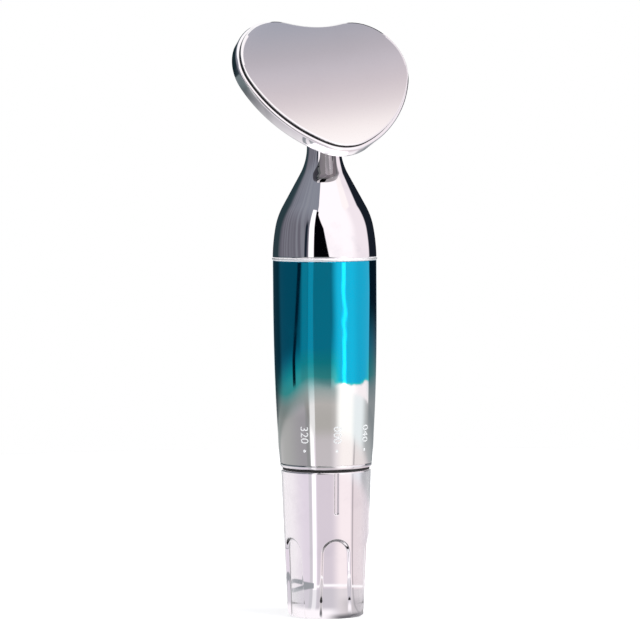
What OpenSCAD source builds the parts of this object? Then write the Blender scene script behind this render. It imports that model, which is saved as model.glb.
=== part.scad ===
// Vibrating facial massager with a heart-shaped polished head on a slim bell neck.
// The lacquered sleeve holds the cell and the motor. The twist cap is the switch and the battery cover.
// Origin: centre of the cap's flat base. +Z runs up the handle, and the head looks towards -Y.
// Azimuths are measured from -Y and grow towards +X. All sizes are in millimetres.

/* [Cap] */
// Radius at the foot of the cap's taper
cap_foot_r = 9.6; // [9.2:0.1:10.4]
// Radius at the cap's open rim
cap_rim_r = 11.15; // [10.9:0.05:12]
// Height of the cap
cap_h = 37.2; // [34:0.2:42]
// Rounding round the cap's base
cap_foot_round = 1.1; // [0.5:0.1:1.5]
// Rounding on the cap's rim
cap_rim_round = 0.3; // [0.1:0.05:0.35]
// Thickness of the cap's floor
cap_floor_t = 2; // [1.5:0.1:3]
// Height of the shelf under the battery tube
cap_shelf_z = 22; // [20:0.5:24]
// Number of finger recesses
flute_count = 5; // [3:1:6]
// Width of a finger recess
flute_w = 6.8; // [4:0.2:8]
// Height of a finger recess's arched top
flute_h = 19; // [12:0.5:22]
// Depth of a finger recess
flute_depth = 0.7; // [0.3:0.05:0.8]
// Width of the index groove
index_w = 0.9; // [0.6:0.1:1.5]
// Length of the index groove down from the rim
index_len = 11.2; // [6:0.2:14]
// Depth of the index groove
index_depth = 0.4; // [0.2:0.05:0.5]
// Azimuth of the index groove when the switch is off
index_azimuth = -14.5; // [-45:0.5:45]

/* [Switch] */
// Turn from one mark of the switch to the next
switch_step = 40; // [30:1:45]
// Visible gap between the cap and the sleeve's trim ring
seam_gap = 0.6; // [0.4:0.1:1]
// Width of a bayonet lug, as an angle
lug_angle = 14; // [8:1:20]
// Height of a bayonet lug
lug_h = 2; // [1.5:0.1:3]
// Height of the lugs above the shelf
lug_rise = 7.3; // [6:0.1:9]
// Reach of a lug inwards from the cap's bore
lug_reach = 0.9; // [0.6:0.05:1]
// Play of a lug in its track, as an angle
track_play = 6; // [4:1:8]
// Thickness of the seal ring's cord
seal_d = 1.2; // [1:0.1:1.3]
// Depth of the seal ring's groove
seal_sink = 0.4; // [0.3:0.05:0.5]

/* [Sleeve] */
// Height of the bright ring under the sleeve
trim_h = 1; // [0.6:0.1:2]
// Length of the lacquered sleeve
sleeve_len = 51.2; // [48:0.2:60]
// Radius at the sleeve's lower edge
sleeve_low_r = 11.4; // [11.2:0.05:12]
// Radius at the sleeve's upper edge
sleeve_top_r = 13.15; // [12.8:0.05:14]
// How late the sleeve's side turns in, as a power
sleeve_power = 3.4; // [2:0.1:5]
// Wall of the sleeve at its lower edge
sleeve_wall = 1.05; // [0.9:0.05:1.2]
// Wall of the sleeve round the neck's spigot
socket_wall = 1.45; // [1:0.05:1.6]
// Depth of the neck's spigot in the sleeve
spigot_len = 8; // [5:0.5:12]
// Height of the bright ring over the sleeve
collar_h = 0.8; // [0.5:0.1:1.5]
// How far the bright ring stands proud of the sleeve
collar_proud = 0.15; // [0.05:0.05:0.4]

/* [Neck] */
// Radius at the neck's shoulder
neck_r = 13.2; // [12.8:0.05:14]
// Radius of the shoulder's curve, seen from the side
shoulder_round = 30; // [22:1:36]
// Steepest slope of the neck, from the vertical
neck_slope = 26.5; // [22:0.5:32]
// Radius of the curve that runs into the stem
stem_fillet = 10; // [6:1:14]
// Radius of the stem
stem_r = 4.3; // [4:0.1:5]
// Wall of the neck
neck_wall = 1.5; // [1.2:0.1:1.8]

/* [Head] */
// Height of the middle of the head's lobes above the stem's curve
head_rise = 21.4; // [20:0.2:26]
// How far the face stands in front of the handle's axis
head_forward = 1.3; // [0.5:0.1:3]
// Lean of the face back from the vertical
head_tilt = 30.5; // [26:0.5:36]
// Thickness of the head
head_t = 5.5; // [5:0.1:7]
// Radius of a lobe of the face
lobe_r = 11.8; // [10:0.1:14]
// Distance of a lobe's centre from the middle
lobe_x = 10.9; // [9:0.1:12]
// Radius of the hollow between the lobes
notch_r = 23; // [15:0.5:35]
// Radius of the long side of the heart
flank_r = 32.3; // [28:0.1:40]
// Radius of the heart's lower tip
tip_r = 12.2; // [8:0.1:13]
// Distance of the tip's centre below the lobes' centres
tip_y = 10.9; // [9:0.1:14]
// Width of the rounded rim round the face
rim_w = 1.5; // [1:0.1:2]
// Depth of the rim's rounded front
rim_round = 1.2; // [0.6:0.1:1.5]
// Rounding of the head's back edge
back_round = 1.2; // [0.6:0.1:1.5]
// Flat lip of the rim round the face plate
lip_w = 0.25; // [0.1:0.05:0.5]
// Thickness of the face plate
face_t = 1.2; // [0.8:0.1:1.5]
// Width of the ledge that carries the face plate
ledge_w = 0.8; // [0.5:0.1:1.5]
// Wall of the head's back
back_wall = 1.2; // [0.8:0.1:1.5]
// Radius of the steel stem pin
pin_r = 2.9; // [2.5:0.1:3]
// Wall of the head's inner boss round the pin
pin_boss_wall = 1.4; // [1:0.1:2]
// Depth of the pin's foot below the stem's curve
pin_drop = 1; // [0.5:0.1:2]

/* [Cell] */
// Radius of the cell
cell_r = 7.25; // [7:0.05:7.35]
// Length of the cell's can
cell_len = 49.5; // [49:0.1:50]
// Radius of the cell's raised pole
pole_r = 2.75; // [2:0.05:2.75]
// Height of the cell's raised pole
pole_h = 1; // [0.8:0.1:1.5]
// Rounding of the cell's two ends
cell_round = 0.6; // [0.3:0.1:1]
// Space between the cell and the battery tube
cell_play = 0.3; // [0.2:0.05:0.5]
// Space between the cell and the cap's lower bore
cap_play = 0.75; // [0.6:0.05:0.8]
// Wall of the battery tube
tube_wall = 1.65; // [1.5:0.05:1.7]
// Height of the battery tube's lower flange
flange_h = 4; // [2:0.5:6]
// Thickness of the battery tube's end wall
bulkhead_t = 1.5; // [1:0.1:2.5]

/* [Contacts] */
// Height of the contact spring
spring_h = 4.6; // [4:0.1:6]
// Radius of the spring's wire
spring_wire_r = 0.4; // [0.25:0.05:0.4]
// Radius of the spring's wide end
spring_wide_r = 5.5; // [5:0.1:6]
// Radius of the spring's narrow end
spring_narrow_r = 3.2; // [2.5:0.1:3.5]
// Turns of the spring
spring_turns = 3.5; // [3:0.5:3.5]
// Thickness of the brass strips
strip_t = 0.3; // [0.2:0.05:0.35]
// Width of the brass strips
strip_w = 4; // [3:0.2:5]
// Thickness of the contact cup and plate
plate_t = 0.4; // [0.3:0.05:0.6]
// Radius of the contact cup under the spring
cup_r = 6.4; // [6.3:0.1:6.8]
// Radius of the positive contact plate
plate_r = 5.5; // [5:0.1:6]
// Azimuth of the switch strip on the battery tube
strip_azimuth = -90; // [-120:1:-60]
// Reach of the contacts' tabs above the battery tube
tab_len = 2.3; // [1.5:0.1:2.5]
// Thickness of a solder tab
tab_t = 0.4; // [0.3:0.05:0.5]
// Width of a solder tab
tab_w = 1.8; // [1.4:0.1:2]
// Distance of a solder tab from the axis
tab_x = 3.5; // [3:0.1:3.8]

/* [Motor] */
// Room for the leads between the battery tube and the motor
lead_room = 8.3; // [7:0.1:9]
// Radius of the motor's can
motor_r = 6; // [5.5:0.1:6.2]
// Length of the motor's can and end cap
motor_len = 20; // [17:0.5:21]
// Wall of the motor's can
can_wall = 0.5; // [0.4:0.05:0.7]
// Thickness of the motor's end cap
end_cap_t = 1.5; // [1:0.1:2]
// Height of the end cap's spigot in the can
end_cap_spigot = 1; // [0.5:0.1:1.5]
// Length of a terminal below the end cap
terminal_len = 2.5; // [2:0.1:3]
// Thickness of a magnet
magnet_t = 0.9; // [0.7:0.05:1]
// Angle that a magnet covers
magnet_angle = 120; // [90:5:140]
// Reach of the magnets past each end of the armature's iron
magnet_over = 1; // [0:0.1:1.5]
// Height of the magnets above the end cap
magnet_rise = 2.2; // [1.8:0.1:2.5]
// Air gap round the armature
air_gap = 0.4; // [0.3:0.05:0.5]
// Length of the armature's iron
armature_len = 11; // [8:0.5:11.5]
// Width of a slot in the armature's iron
armature_slot_w = 1.4; // [1:0.1:2]
// Depth of a slot in the armature's iron
armature_slot_depth = 1.6; // [1:0.1:2]
// Radius of the commutator
commutator_r = 1.9; // [1.5:0.1:2.2]
// Radius of the shaft
shaft_r = 0.75; // [0.5:0.05:1]
// Length of a shaft bush
bush_len = 1.8; // [1.2:0.1:2]
// Wall of a shaft bush
bush_wall = 0.85; // [0.6:0.05:1.1]
// Floor of the end cap under the lower bush
bush_floor_t = 0.4; // [0.3:0.05:0.6]
// Reach of the upper bush down into the can
bush_drop = 0.6; // [0.4:0.05:0.8]
// Radius of the eccentric weight
weight_r = 5.2; // [4.5:0.1:5.8]
// Height of the eccentric weight
weight_h = 6; // [4:0.5:7]
// Gap between the upper bush and the eccentric weight
weight_rise = 0.8; // [0.5:0.1:1.5]
// Wall of the weight's hub round the shaft
hub_wall = 1.05; // [0.8:0.05:1.5]
// Reach of the shaft past the weight
shaft_tip = 0.5; // [0.2:0.1:1]
// Wall of the cradle round the motor
cradle_wall = 1.15; // [1:0.05:1.3]
// Thickness of the cradle's two flanges
cradle_flange_t = 2; // [1.5:0.1:3]
// Reach of the cradle's ledge under the motor
ledge_reach = 1; // [0.6:0.1:1.5]
// Radius of the lead wires
lead_r = 0.5; // [0.4:0.05:0.6]

/* [Fasteners] */
// Radius of the cradle screws' shanks
cradle_screw_r = 0.85; // [0.7:0.05:1]
// Length of the cradle screws' shanks
cradle_screw_len = 8; // [5:0.5:9]
// Height of the cradle screws' heads
cradle_screw_head_h = 1.2; // [1:0.1:1.5]
// Radius of the head screw's shank
head_screw_r = 1.45; // [1.2:0.05:1.5]
// Length of the head screw's shank
head_screw_len = 12; // [9:0.5:14]
// Radius of the head screw's head
head_screw_head_r = 2.6; // [2.4:0.1:3.2]
// Height of the head screw's head
head_screw_head_h = 1.7; // [1.4:0.1:2]
// Width of the cross slot in a screw's head
screw_slot_w = 0.5; // [0.4:0.05:0.7]
// Thickness of the web that the head screw pulls on
web_t = 2.2; // [1.5:0.1:3]

/* [Fits] */
// Gap between pieces that turn past each other
turn_gap = 0.3; // [0.2:0.05:0.35]
// Clearance of pieces that are fixed in each other
seat_gap = 0.05; // [0.02:0.01:0.1]
// Radial clearance of the shaft in its bushes
shaft_gap = 0.05; // [0.02:0.01:0.1]
// Radial clearance of a screw in a plain hole
screw_gap = 0.1; // [0.05:0.05:0.2]

/* [Hidden] */
$fn = 96;
eps = 0.01;
// How far a cut runs past what it cuts, and how far joined shapes run into each other
over = 1;
fuse = 0.2;

chrome_colour = [0.86, 0.85, 0.87];
lacquer_colour = [0.05, 0.55, 0.68];
steel_colour = [0.62, 0.63, 0.66];
brass_colour = [0.82, 0.66, 0.33];
black_colour = [0.09, 0.09, 0.1];

// Heights up the handle
trim_z = cap_h + seam_gap;
sleeve_z = trim_z + trim_h;
sleeve_end_z = sleeve_z + sleeve_len;
neck_z = sleeve_end_z + collar_h;
spigot_z = sleeve_end_z - spigot_len;

// Radii of the sleeve, its socket and what seats in them
sleeve_bore_r = sleeve_low_r - sleeve_wall;
socket_r = sleeve_top_r - socket_wall;
spigot_r = socket_r - seat_gap;
seat_r = sleeve_bore_r - seat_gap;

// Neck: a shoulder arc, a straight slope and a fillet into the stem
slope_start_r = neck_r - shoulder_round * (1 - cos(neck_slope));
slope_start_z = neck_z + shoulder_round * sin(neck_slope);
slope_end_r = stem_r + stem_fillet * (1 - cos(neck_slope));
slope_end_z = slope_start_z + (slope_start_r - slope_end_r) / tan(neck_slope);
stem_z = slope_end_z + stem_fillet * sin(neck_slope);

// Head: the middle of the lobes' centres, on the face
head_z = stem_z + head_rise;
cavity_depth = head_t - back_wall;
pin_bore_r = pin_r + seat_gap;
web_top_z = stem_z - pin_drop;
web_low_z = web_top_z - web_t;
head_reach = 4 * lobe_r;

// Cell and battery tube
cup_top_z = cap_floor_t + plate_t;
cell_z = cup_top_z + spring_h + turn_gap;
pole_top_z = cell_z + cell_len + pole_h;
tube_bore_r = cell_r + cell_play;
tube_r = tube_bore_r + tube_wall;
tube_z = cap_shelf_z + 2 * strip_t + turn_gap;
bulkhead_z = pole_top_z + plate_t;
tube_end_z = bulkhead_z + bulkhead_t;

// Cap bores and the bayonet
cap_low_bore_r = cell_r + cap_play;
cap_bore_r = tube_r + turn_gap;
lug_z = cap_shelf_z + lug_rise;
track_r = cap_bore_r - lug_reach - turn_gap;
track_z = lug_z - turn_gap;
track_h = lug_h + 2 * turn_gap;
track_angle = lug_angle + track_play;
seal_r = seal_d / 2;
seal_ring_r = tube_r - seal_sink + seal_r;
seal_z = trim_z - seal_r;
seal_pocket_r = seal_ring_r + seal_r + turn_gap;
seal_pocket_z = seal_z - seal_r - turn_gap;

// Motor, cradle and weight
cradle_z = tube_end_z;
motor_z = tube_end_z + lead_room;
cradle_end_z = motor_z + motor_len;
cradle_bore_r = motor_r + seat_gap;
cradle_r = cradle_bore_r + cradle_wall;
can_z = motor_z + end_cap_t;
can_bore_r = motor_r - can_wall;
magnet_r = can_bore_r - seat_gap;
armature_r = magnet_r - magnet_t - air_gap;
magnet_len = armature_len + 2 * magnet_over;
magnet_z = can_z + magnet_rise;
iron_z = magnet_z + magnet_over;
bush_bore_r = shaft_r + shaft_gap;
bush_r = bush_bore_r + bush_wall;
low_bush_z = motor_z + bush_floor_t;
top_bush_z = cradle_end_z - can_wall - bush_drop;
weight_z = top_bush_z + bush_len + weight_rise;
shaft_z = low_bush_z + turn_gap;
shaft_end_z = weight_z + weight_h + shaft_tip;
press_bore_r = shaft_r + seat_gap / 2;
ledge_r = cradle_bore_r - ledge_reach;
screw_x = (cradle_r + seat_r) / 2;
screw_boss_r = (seat_r - cradle_r) / 2;
screw_head_r = screw_boss_r - seat_gap;

// Heights where the contacts' tabs end and the motor's terminals start
tab_end_z = tube_end_z + tab_len;
terminal_z = motor_z - terminal_len;

// Radius of the sleeve's outside at a height
function sleeve_outer(z) =
    sleeve_top_r - (sleeve_top_r - sleeve_low_r) * pow((sleeve_end_z - z) / sleeve_len, sleeve_power);

// Radius of the cap's outside at a height
function cap_outer(z) = cap_foot_r + (cap_rim_r - cap_foot_r) * z / cap_h;

// Points on an arc, ends included
function arc(centre, r, from, to, steps) =
    [for (i = [0 : steps]) let (a = from + (to - from) * i / steps)
        centre + r * [cos(a), sin(a)]];

// Outside of the neck from the shoulder to the stem, as [radius, height], drawn in by an inset
function neck_outline(inset) = concat(
    arc([neck_r - shoulder_round, neck_z], shoulder_round - inset, 0, neck_slope, 20),
    arc([stem_r + stem_fillet, stem_z], stem_fillet + inset, 180 + neck_slope, 180, 12));

// Height where a level at some depth behind the face crosses the plane y
function head_plane_z(y, depth) =
    head_z + (cos(head_tilt) * (y + head_forward) - depth) / sin(head_tilt);

// Heart outline, grown outwards by an offset: notch, lobe, flank and tip arcs, mirrored
notch_y = sqrt(pow(lobe_r + notch_r, 2) - pow(lobe_x, 2));
tip_dist = norm([lobe_x, tip_y]);
flank_along = (pow(flank_r - lobe_r, 2) - pow(flank_r - tip_r, 2) + pow(tip_dist, 2)) / (2 * tip_dist);
flank_across = sqrt(pow(flank_r - lobe_r, 2) - pow(flank_along, 2));
flank_dir = [-lobe_x, -tip_y] / tip_dist;
flank_centre = [lobe_x, 0] + flank_dir * flank_along - [-flank_dir.y, flank_dir.x] * flank_across;
flank_start = atan2(-flank_centre.y, lobe_x - flank_centre.x);
flank_end = atan2(-tip_y - flank_centre.y, -flank_centre.x);
lobe_start = atan2(notch_y, -lobe_x);

function half_heart(grow) = concat(
    arc([0, notch_y], notch_r - grow, -90, lobe_start - 180, 6),
    arc([lobe_x, 0], lobe_r + grow, lobe_start, flank_start, 22),
    arc(flank_centre, flank_r + grow, flank_start, flank_end, 14),
    arc([0, -tip_y], tip_r + grow, flank_end, -90, 8));

// The points where two arcs meet, and the ones on the middle line, are kept once
function tidy(points) =
    [for (i = [0 : len(points) - 1]) if (i == 0 || norm(points[i] - points[i - 1]) > 0.001) points[i]];

function heart(grow) = let (right = tidy(half_heart(grow)), n = len(right)) concat(
    [for (i = [n - 1 : -1 : 0]) right[i]],
    [for (i = [1 : n - 2]) [-right[i].x, right[i].y]]);

// Seated in the head: X to the head's side, Y up the face, Z out of the face
module in_head() {
    translate([0, -head_forward, head_z])
        rotate([90 - head_tilt, 0, 0]) children();
}

// Everything in front of a level at some depth behind the face
module in_front_of(depth) {
    in_head() translate([-head_reach, -head_reach, -depth])
        cube([2 * head_reach, 2 * head_reach, head_reach]);
}

// Closed solid through heart outlines, each given as [offset, depth]
module heart_loft(levels) {
    rings = [for (level = levels) heart(level[0])];
    n = len(rings[0]);
    last = len(levels) - 1;
    points = [for (k = [0 : last]) for (p = rings[k]) [p.x, p.y, -levels[k][1]]];
    walls = [for (k = [0 : last - 1]) for (i = [0 : n - 1]) let (j = (i + 1) % n)
        each [[k * n + i, k * n + j, (k + 1) * n + j], [k * n + i, (k + 1) * n + j, (k + 1) * n + i]]];
    front = [for (i = [n - 1 : -1 : 0]) i];
    back = [for (i = [0 : n - 1]) last * n + i];
    polyhedron(points, concat(walls, [front, back]), convexity = 6);
}

module heart_slab(grow, from_depth, to_depth) {
    translate([0, 0, -to_depth])
        linear_extrude(to_depth - from_depth) polygon(heart(grow));
}

// Rim levels: the rounded front, the wall and the rounded back edge
rim_steps = 5;
function rim_levels() = concat(
    [for (i = [0 : rim_steps]) let (a = 90 * i / rim_steps)
        [lip_w + (rim_w - lip_w) * sin(a), rim_round * (1 - cos(a))]],
    [for (i = [0 : rim_steps]) let (a = 90 * i / rim_steps)
        [rim_w - back_round * (1 - cos(a)), head_t - back_round * (1 - sin(a))]]);

module head_face_plate() {
    color(chrome_colour) in_head() heart_slab(-seat_gap, 0, face_t - eps);
}

module head_back_shell() {
    boss_r = pin_r + pin_boss_wall;
    color(chrome_colour) difference() {
        union() {
            difference() {
                in_head() heart_loft(rim_levels());
                in_head() heart_slab(0, -over, face_t);
                in_head() heart_slab(-ledge_w, 0, cavity_depth);
            }
            intersection() {
                translate([0, 0, stem_z]) cylinder(h = 2 * head_rise, r = boss_r);
                in_head() heart_slab(-ledge_w, face_t + seat_gap, cavity_depth + back_wall / 2);
            }
        }
        translate([0, 0, stem_z]) cylinder(h = 2 * head_rise, r = pin_bore_r);
    }
}

module stem_pin() {
    pin_end_z = head_plane_z(-pin_r, face_t) - turn_gap;
    thread_r = head_screw_r + seat_gap;
    color(steel_colour) translate([0, 0, web_top_z]) difference() {
        cylinder(h = pin_end_z - web_top_z, r = pin_r);
        translate([0, 0, -eps]) cylinder(h = head_screw_len - web_t + over, r = thread_r);
    }
}

module screw(shank_r, shank_len, head_r, head_h) {
    slot_len = head_r + screw_slot_w;
    difference() {
        union() {
            cylinder(h = shank_len, r = shank_r);
            translate([0, 0, -head_h]) cylinder(h = head_h, r = head_r);
        }
        for (a = [0, 90])
            rotate([0, 0, a])
                translate([-slot_len / 2, -screw_slot_w / 2, -head_h - over])
                    cube([slot_len, screw_slot_w, over + head_h / 2]);
    }
}

module head_screw() {
    color(steel_colour) translate([0, 0, web_low_z - eps])
        screw(head_screw_r, head_screw_len, head_screw_head_r, head_screw_head_h);
}

module neck_shell() {
    hollow_end_z = web_low_z;
    inner = [for (p = neck_outline(neck_wall)) if (p.y < hollow_end_z) p];
    stem_end_z = head_plane_z(stem_r, head_t) + over;
    color(chrome_colour) difference() {
        union() {
            difference() {
                rotate_extrude() polygon(concat(
                    [[0, spigot_z], [spigot_r, spigot_z], [spigot_r, neck_z]],
                    neck_outline(0), [[stem_r, stem_end_z], [0, stem_end_z]]));
                rotate_extrude() polygon(concat(
                    [[0, spigot_z - over], [sleeve_bore_r, spigot_z - over], [sleeve_bore_r, neck_z]],
                    inner, [[inner[len(inner) - 1].x, hollow_end_z], [0, hollow_end_z]]));
            }
            intersection() {
                screw_bosses();
                rotate_extrude() polygon(concat([[0, tube_end_z], [sleeve_bore_r + fuse, tube_end_z],
                    [sleeve_bore_r + fuse, neck_z]], neck_outline(neck_wall / 2), [[0, stem_z]]));
            }
        }
        translate([0, 0, web_top_z]) cylinder(h = 2 * head_rise, r = pin_bore_r);
        translate([0, 0, web_low_z - over]) cylinder(h = web_t + 2 * over, r = head_screw_r + screw_gap);
        in_front_of(head_t + seat_gap);
    }
}

// Two bosses that take the cradle screws, each on a rib down the neck's wall
module screw_bosses() {
    boss_z = cradle_end_z + seat_gap;
    rib_z = max(neck_z, boss_z);
    rib_t = screw_boss_r;
    for (side = [-1, 1])
        difference() {
            union() {
                translate([side * screw_x, 0, boss_z])
                    cylinder(h = slope_start_z - boss_z, r = screw_boss_r);
                translate([side > 0 ? screw_x : -screw_x - neck_r, -rib_t / 2, rib_z])
                    cube([neck_r, rib_t, slope_start_z - rib_z]);
            }
            translate([side * screw_x, 0, cradle_end_z])
                cylinder(h = cradle_screw_len - cradle_flange_t + over, r = cradle_screw_r + seat_gap);
        }
}

module ring(inner_r, outer_r, z, h) {
    round_r = h / 2 - eps;
    rotate_extrude() translate([0, z]) polygon(concat(
        [[inner_r, 0]],
        arc([outer_r - round_r, round_r], round_r, -90, 0, 8),
        arc([outer_r - round_r, h - round_r], round_r, 0, 90, 8),
        [[inner_r, h]]));
}

module collar_ring() {
    color(chrome_colour) ring(spigot_r + seat_gap, sleeve_top_r + collar_proud, sleeve_end_z, collar_h);
}

module lower_trim_ring() {
    color(chrome_colour) ring(tube_r + seat_gap, sleeve_low_r, trim_z, trim_h);
}

module sleeve() {
    steps = 28;
    color(lacquer_colour) rotate_extrude() polygon(concat(
        [for (i = [0 : steps]) let (z = sleeve_z + sleeve_len * i / steps) [sleeve_outer(z), z]],
        [[socket_r, sleeve_end_z], [socket_r, spigot_z - seat_gap],
         [sleeve_bore_r, spigot_z - seat_gap], [sleeve_bore_r, sleeve_z]]));
}

// A sector of a ring, centred on an azimuth
module sector(inner_r, outer_r, z, h, azimuth, angle) {
    rotate([0, 0, azimuth - 90 - angle / 2])
        rotate_extrude(angle = angle)
            translate([inner_r, z]) square([outer_r - inner_r, h]);
}

module battery_tube() {
    notch_w = strip_w + 2 * seat_gap;
    tab_slot_w = tab_w + 2 * turn_gap;
    strip_r = tube_bore_r + strip_t + 2 * seat_gap;
    open_azimuth = index_azimuth - switch_step;
    color(black_colour) difference() {
        rotate_extrude() polygon([[tube_bore_r, tube_z], [tube_r, tube_z], [tube_r, sleeve_z],
            [seat_r, sleeve_z], [seat_r, sleeve_z + flange_h], [tube_r, sleeve_z + flange_h],
            [tube_r, bulkhead_z - bulkhead_t], [seat_r, bulkhead_z - bulkhead_t], [seat_r, tube_end_z],
            [0, tube_end_z], [0, bulkhead_z], [tube_bore_r, bulkhead_z]]);
        // Bayonet track, with its way in at the open mark
        for (side = [0, 180]) {
            sector(track_r, tube_r + over, track_z, track_h, index_azimuth + side,
                2 * switch_step + track_angle);
            sector(track_r, tube_r + over, tube_z - over, track_z + over + eps - tube_z,
                open_azimuth + side, track_angle);
        }
        // Groove of the seal ring
        rotate_extrude() translate([seal_ring_r - seat_gap, seal_z]) circle(r = seal_r, $fn = 32);
        // Channel of the switch strip, up the bore and out through the end wall
        rotate([0, 0, strip_azimuth])
            translate([-notch_w / 2, -strip_r, tube_z - over])
                cube([notch_w, strip_r - tube_bore_r + over, tube_end_z]);
        // Slot for the positive contact's tab
        translate([tab_x - tab_t, -tab_slot_w / 2, bulkhead_z - over])
            cube([2 * tab_t, tab_slot_w, bulkhead_t + 2 * over]);
    }
}

module seal_ring() {
    color([0.05, 0.05, 0.05]) rotate_extrude() translate([seal_ring_r, seal_z])
        circle(r = seal_r - seat_gap, $fn = 32);
}

module flute() {
    arch_r = flute_w / 2;
    translate([0, 0, flute_h - arch_r]) rotate([90, 0, 0]) linear_extrude(2 * cap_rim_r) {
        circle(r = arch_r);
        translate([-arch_r, -flute_h]) square([flute_w, flute_h]);
    }
}

module twist_cap() {
    foot_r = cap_outer(0);
    rim_z = cap_h - cap_rim_round;
    index_r = index_w / 2;
    color(chrome_colour) union() {
        difference() {
            rotate_extrude() polygon(concat([[0, 0]],
                arc([foot_r - cap_foot_round, cap_foot_round], cap_foot_round, -90, 0, 10),
                arc([cap_rim_r - cap_rim_round, rim_z], cap_rim_round, 0, 90, 6),
                [[seal_pocket_r, cap_h], [seal_pocket_r, seal_pocket_z], [cap_bore_r, seal_pocket_z],
                 [cap_bore_r, cap_shelf_z], [cap_low_bore_r, cap_shelf_z],
                 [cap_low_bore_r, cap_floor_t], [0, cap_floor_t]]));
            // Finger recesses, open at the base
            difference() {
                for (i = [0 : flute_count - 1])
                    rotate([0, 0, index_azimuth + i * 360 / flute_count]) flute();
                translate([0, 0, -over]) cylinder(h = cap_h + over, r1 = cap_outer(-over) - flute_depth,
                    r2 = cap_rim_r - flute_depth);
            }
            // Index groove with a round lower end
            rotate([0, 0, index_azimuth]) difference() {
                translate([0, 0, cap_h - index_len + index_r])
                    rotate([90, 0, 0]) linear_extrude(2 * cap_rim_r) {
                        circle(r = index_r, $fn = 32);
                        translate([-index_r, 0]) square([index_w, index_len]);
                    }
                translate([0, 0, -over])
                    cylinder(h = cap_h + 2 * over, r1 = cap_outer(-over) - index_depth,
                        r2 = cap_outer(cap_h + over) - index_depth);
            }
        }
        for (side = [0, 180])
            sector(cap_bore_r - lug_reach, cap_bore_r + fuse, lug_z, lug_h, index_azimuth + side, lug_angle);
    }
}

module cap_contact_strip() {
    finger_azimuth = strip_azimuth - switch_step;
    outer = cap_low_bore_r - seat_gap;
    finger_h = cap_shelf_z + strip_t - cap_floor_t;
    color(brass_colour) union() {
        translate([0, 0, cap_floor_t]) cylinder(h = plate_t, r = cup_r);
        rotate([0, 0, finger_azimuth]) {
            translate([-strip_w / 2, fuse - outer, cap_floor_t])
                cube([strip_w, outer - cup_r + over, plate_t]);
            intersection() {
                translate([-strip_w / 2, -outer, cap_floor_t]) cube([strip_w, outer, finger_h]);
                sector(outer - strip_t, outer, cap_floor_t, finger_h, 0, 90);
            }
            intersection() {
                translate([-strip_w / 2, -cap_bore_r, cap_shelf_z + seat_gap])
                    cube([strip_w, cap_bore_r, strip_t - seat_gap]);
                sector(outer - strip_t, cap_bore_r - 2 * seat_gap, cap_shelf_z, strip_t, 0, 90);
            }
        }
    }
}

// Path of a conical spring: its curls come from a loop
spring_rings = 8;
function spring_path() =
    let (count = round(spring_turns * spring_rings), rise = spring_h - 2 * spring_wire_r)
    [for (i = [0 : count]) let (t = i / count, a = 360 * i / spring_rings,
        r = spring_wide_r + (spring_narrow_r - spring_wide_r) * t)
        [r * cos(a), r * sin(a), cup_top_z + spring_wire_r + rise * t]];

// Least gap between points of the wire that lie more than half a curl apart
function least_gap(path, wire_r) = min([for (i = [0 : len(path) - 1])
    for (j = [i + spring_rings / 2 : 1 : len(path) - 1]) norm(path[i] - path[j])]) - 2 * wire_r;

function unit(v) = v / norm(v);

// One closed tube along a path, whose cross-sections stand square to it
module tube_along(path, r, sides, side_hint) {
    last = len(path) - 1;
    points = [for (i = [0 : last])
        let (t = unit(path[min(i + 1, last)] - path[max(i - 1, 0)]),
            hint = side_hint == "radial" ? [path[i].x, path[i].y, 0] : [0, 1, 0],
            u = unit(cross(t, hint)), v = cross(u, t))
        for (k = [0 : sides - 1]) let (a = 360 * (k + 0.5) / sides)
            path[i] + r * (cos(a) * u + sin(a) * v)];
    walls = [for (i = [0 : last - 1]) for (k = [0 : sides - 1]) let (m = (k + 1) % sides)
        each [[i * sides + k, (i + 1) * sides + m, i * sides + m],
              [i * sides + k, (i + 1) * sides + k, (i + 1) * sides + m]]];
    start = [for (k = [0 : sides - 1]) k];
    end = [for (k = [sides - 1 : -1 : 0]) last * sides + k];
    polyhedron(points, concat(walls, [start, end]), convexity = 8);
}

module contact_spring() {
    path = spring_path();
    echo(spring_least_gap = least_gap(path, spring_wire_r));
    color(steel_colour) tube_along(path, spring_wire_r, 6, "radial");
}

module aa_cell() {
    color([0.12, 0.35, 0.24]) translate([0, 0, cell_z]) rotate_extrude() polygon(concat(
        [[0, 0]],
        arc([cell_r - cell_round, cell_round], cell_round, -90, 0, 6),
        arc([cell_r - cell_round, cell_len - cell_round], cell_round, 0, 90, 6),
        [[pole_r, cell_len], [pole_r, cell_len + pole_h], [0, cell_len + pole_h]]));
}

module positive_contact() {
    color(brass_colour) union() {
        translate([0, 0, pole_top_z]) cylinder(h = plate_t, r = plate_r);
        translate([tab_x - tab_t / 2, -tab_w / 2, pole_top_z])
            cube([tab_t, tab_w, tab_end_z - pole_top_z]);
    }
}

module switch_strip() {
    inner = tube_bore_r + seat_gap;
    pad_z = tube_z - strip_t;
    color(brass_colour) rotate([0, 0, strip_azimuth]) union() {
        translate([-strip_w / 2, -inner - strip_t, pad_z]) cube([strip_w, strip_t, tab_end_z - pad_z]);
        translate([-strip_w / 2, -track_r, pad_z]) cube([strip_w, track_r - inner, strip_t - eps]);
    }
}

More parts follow.
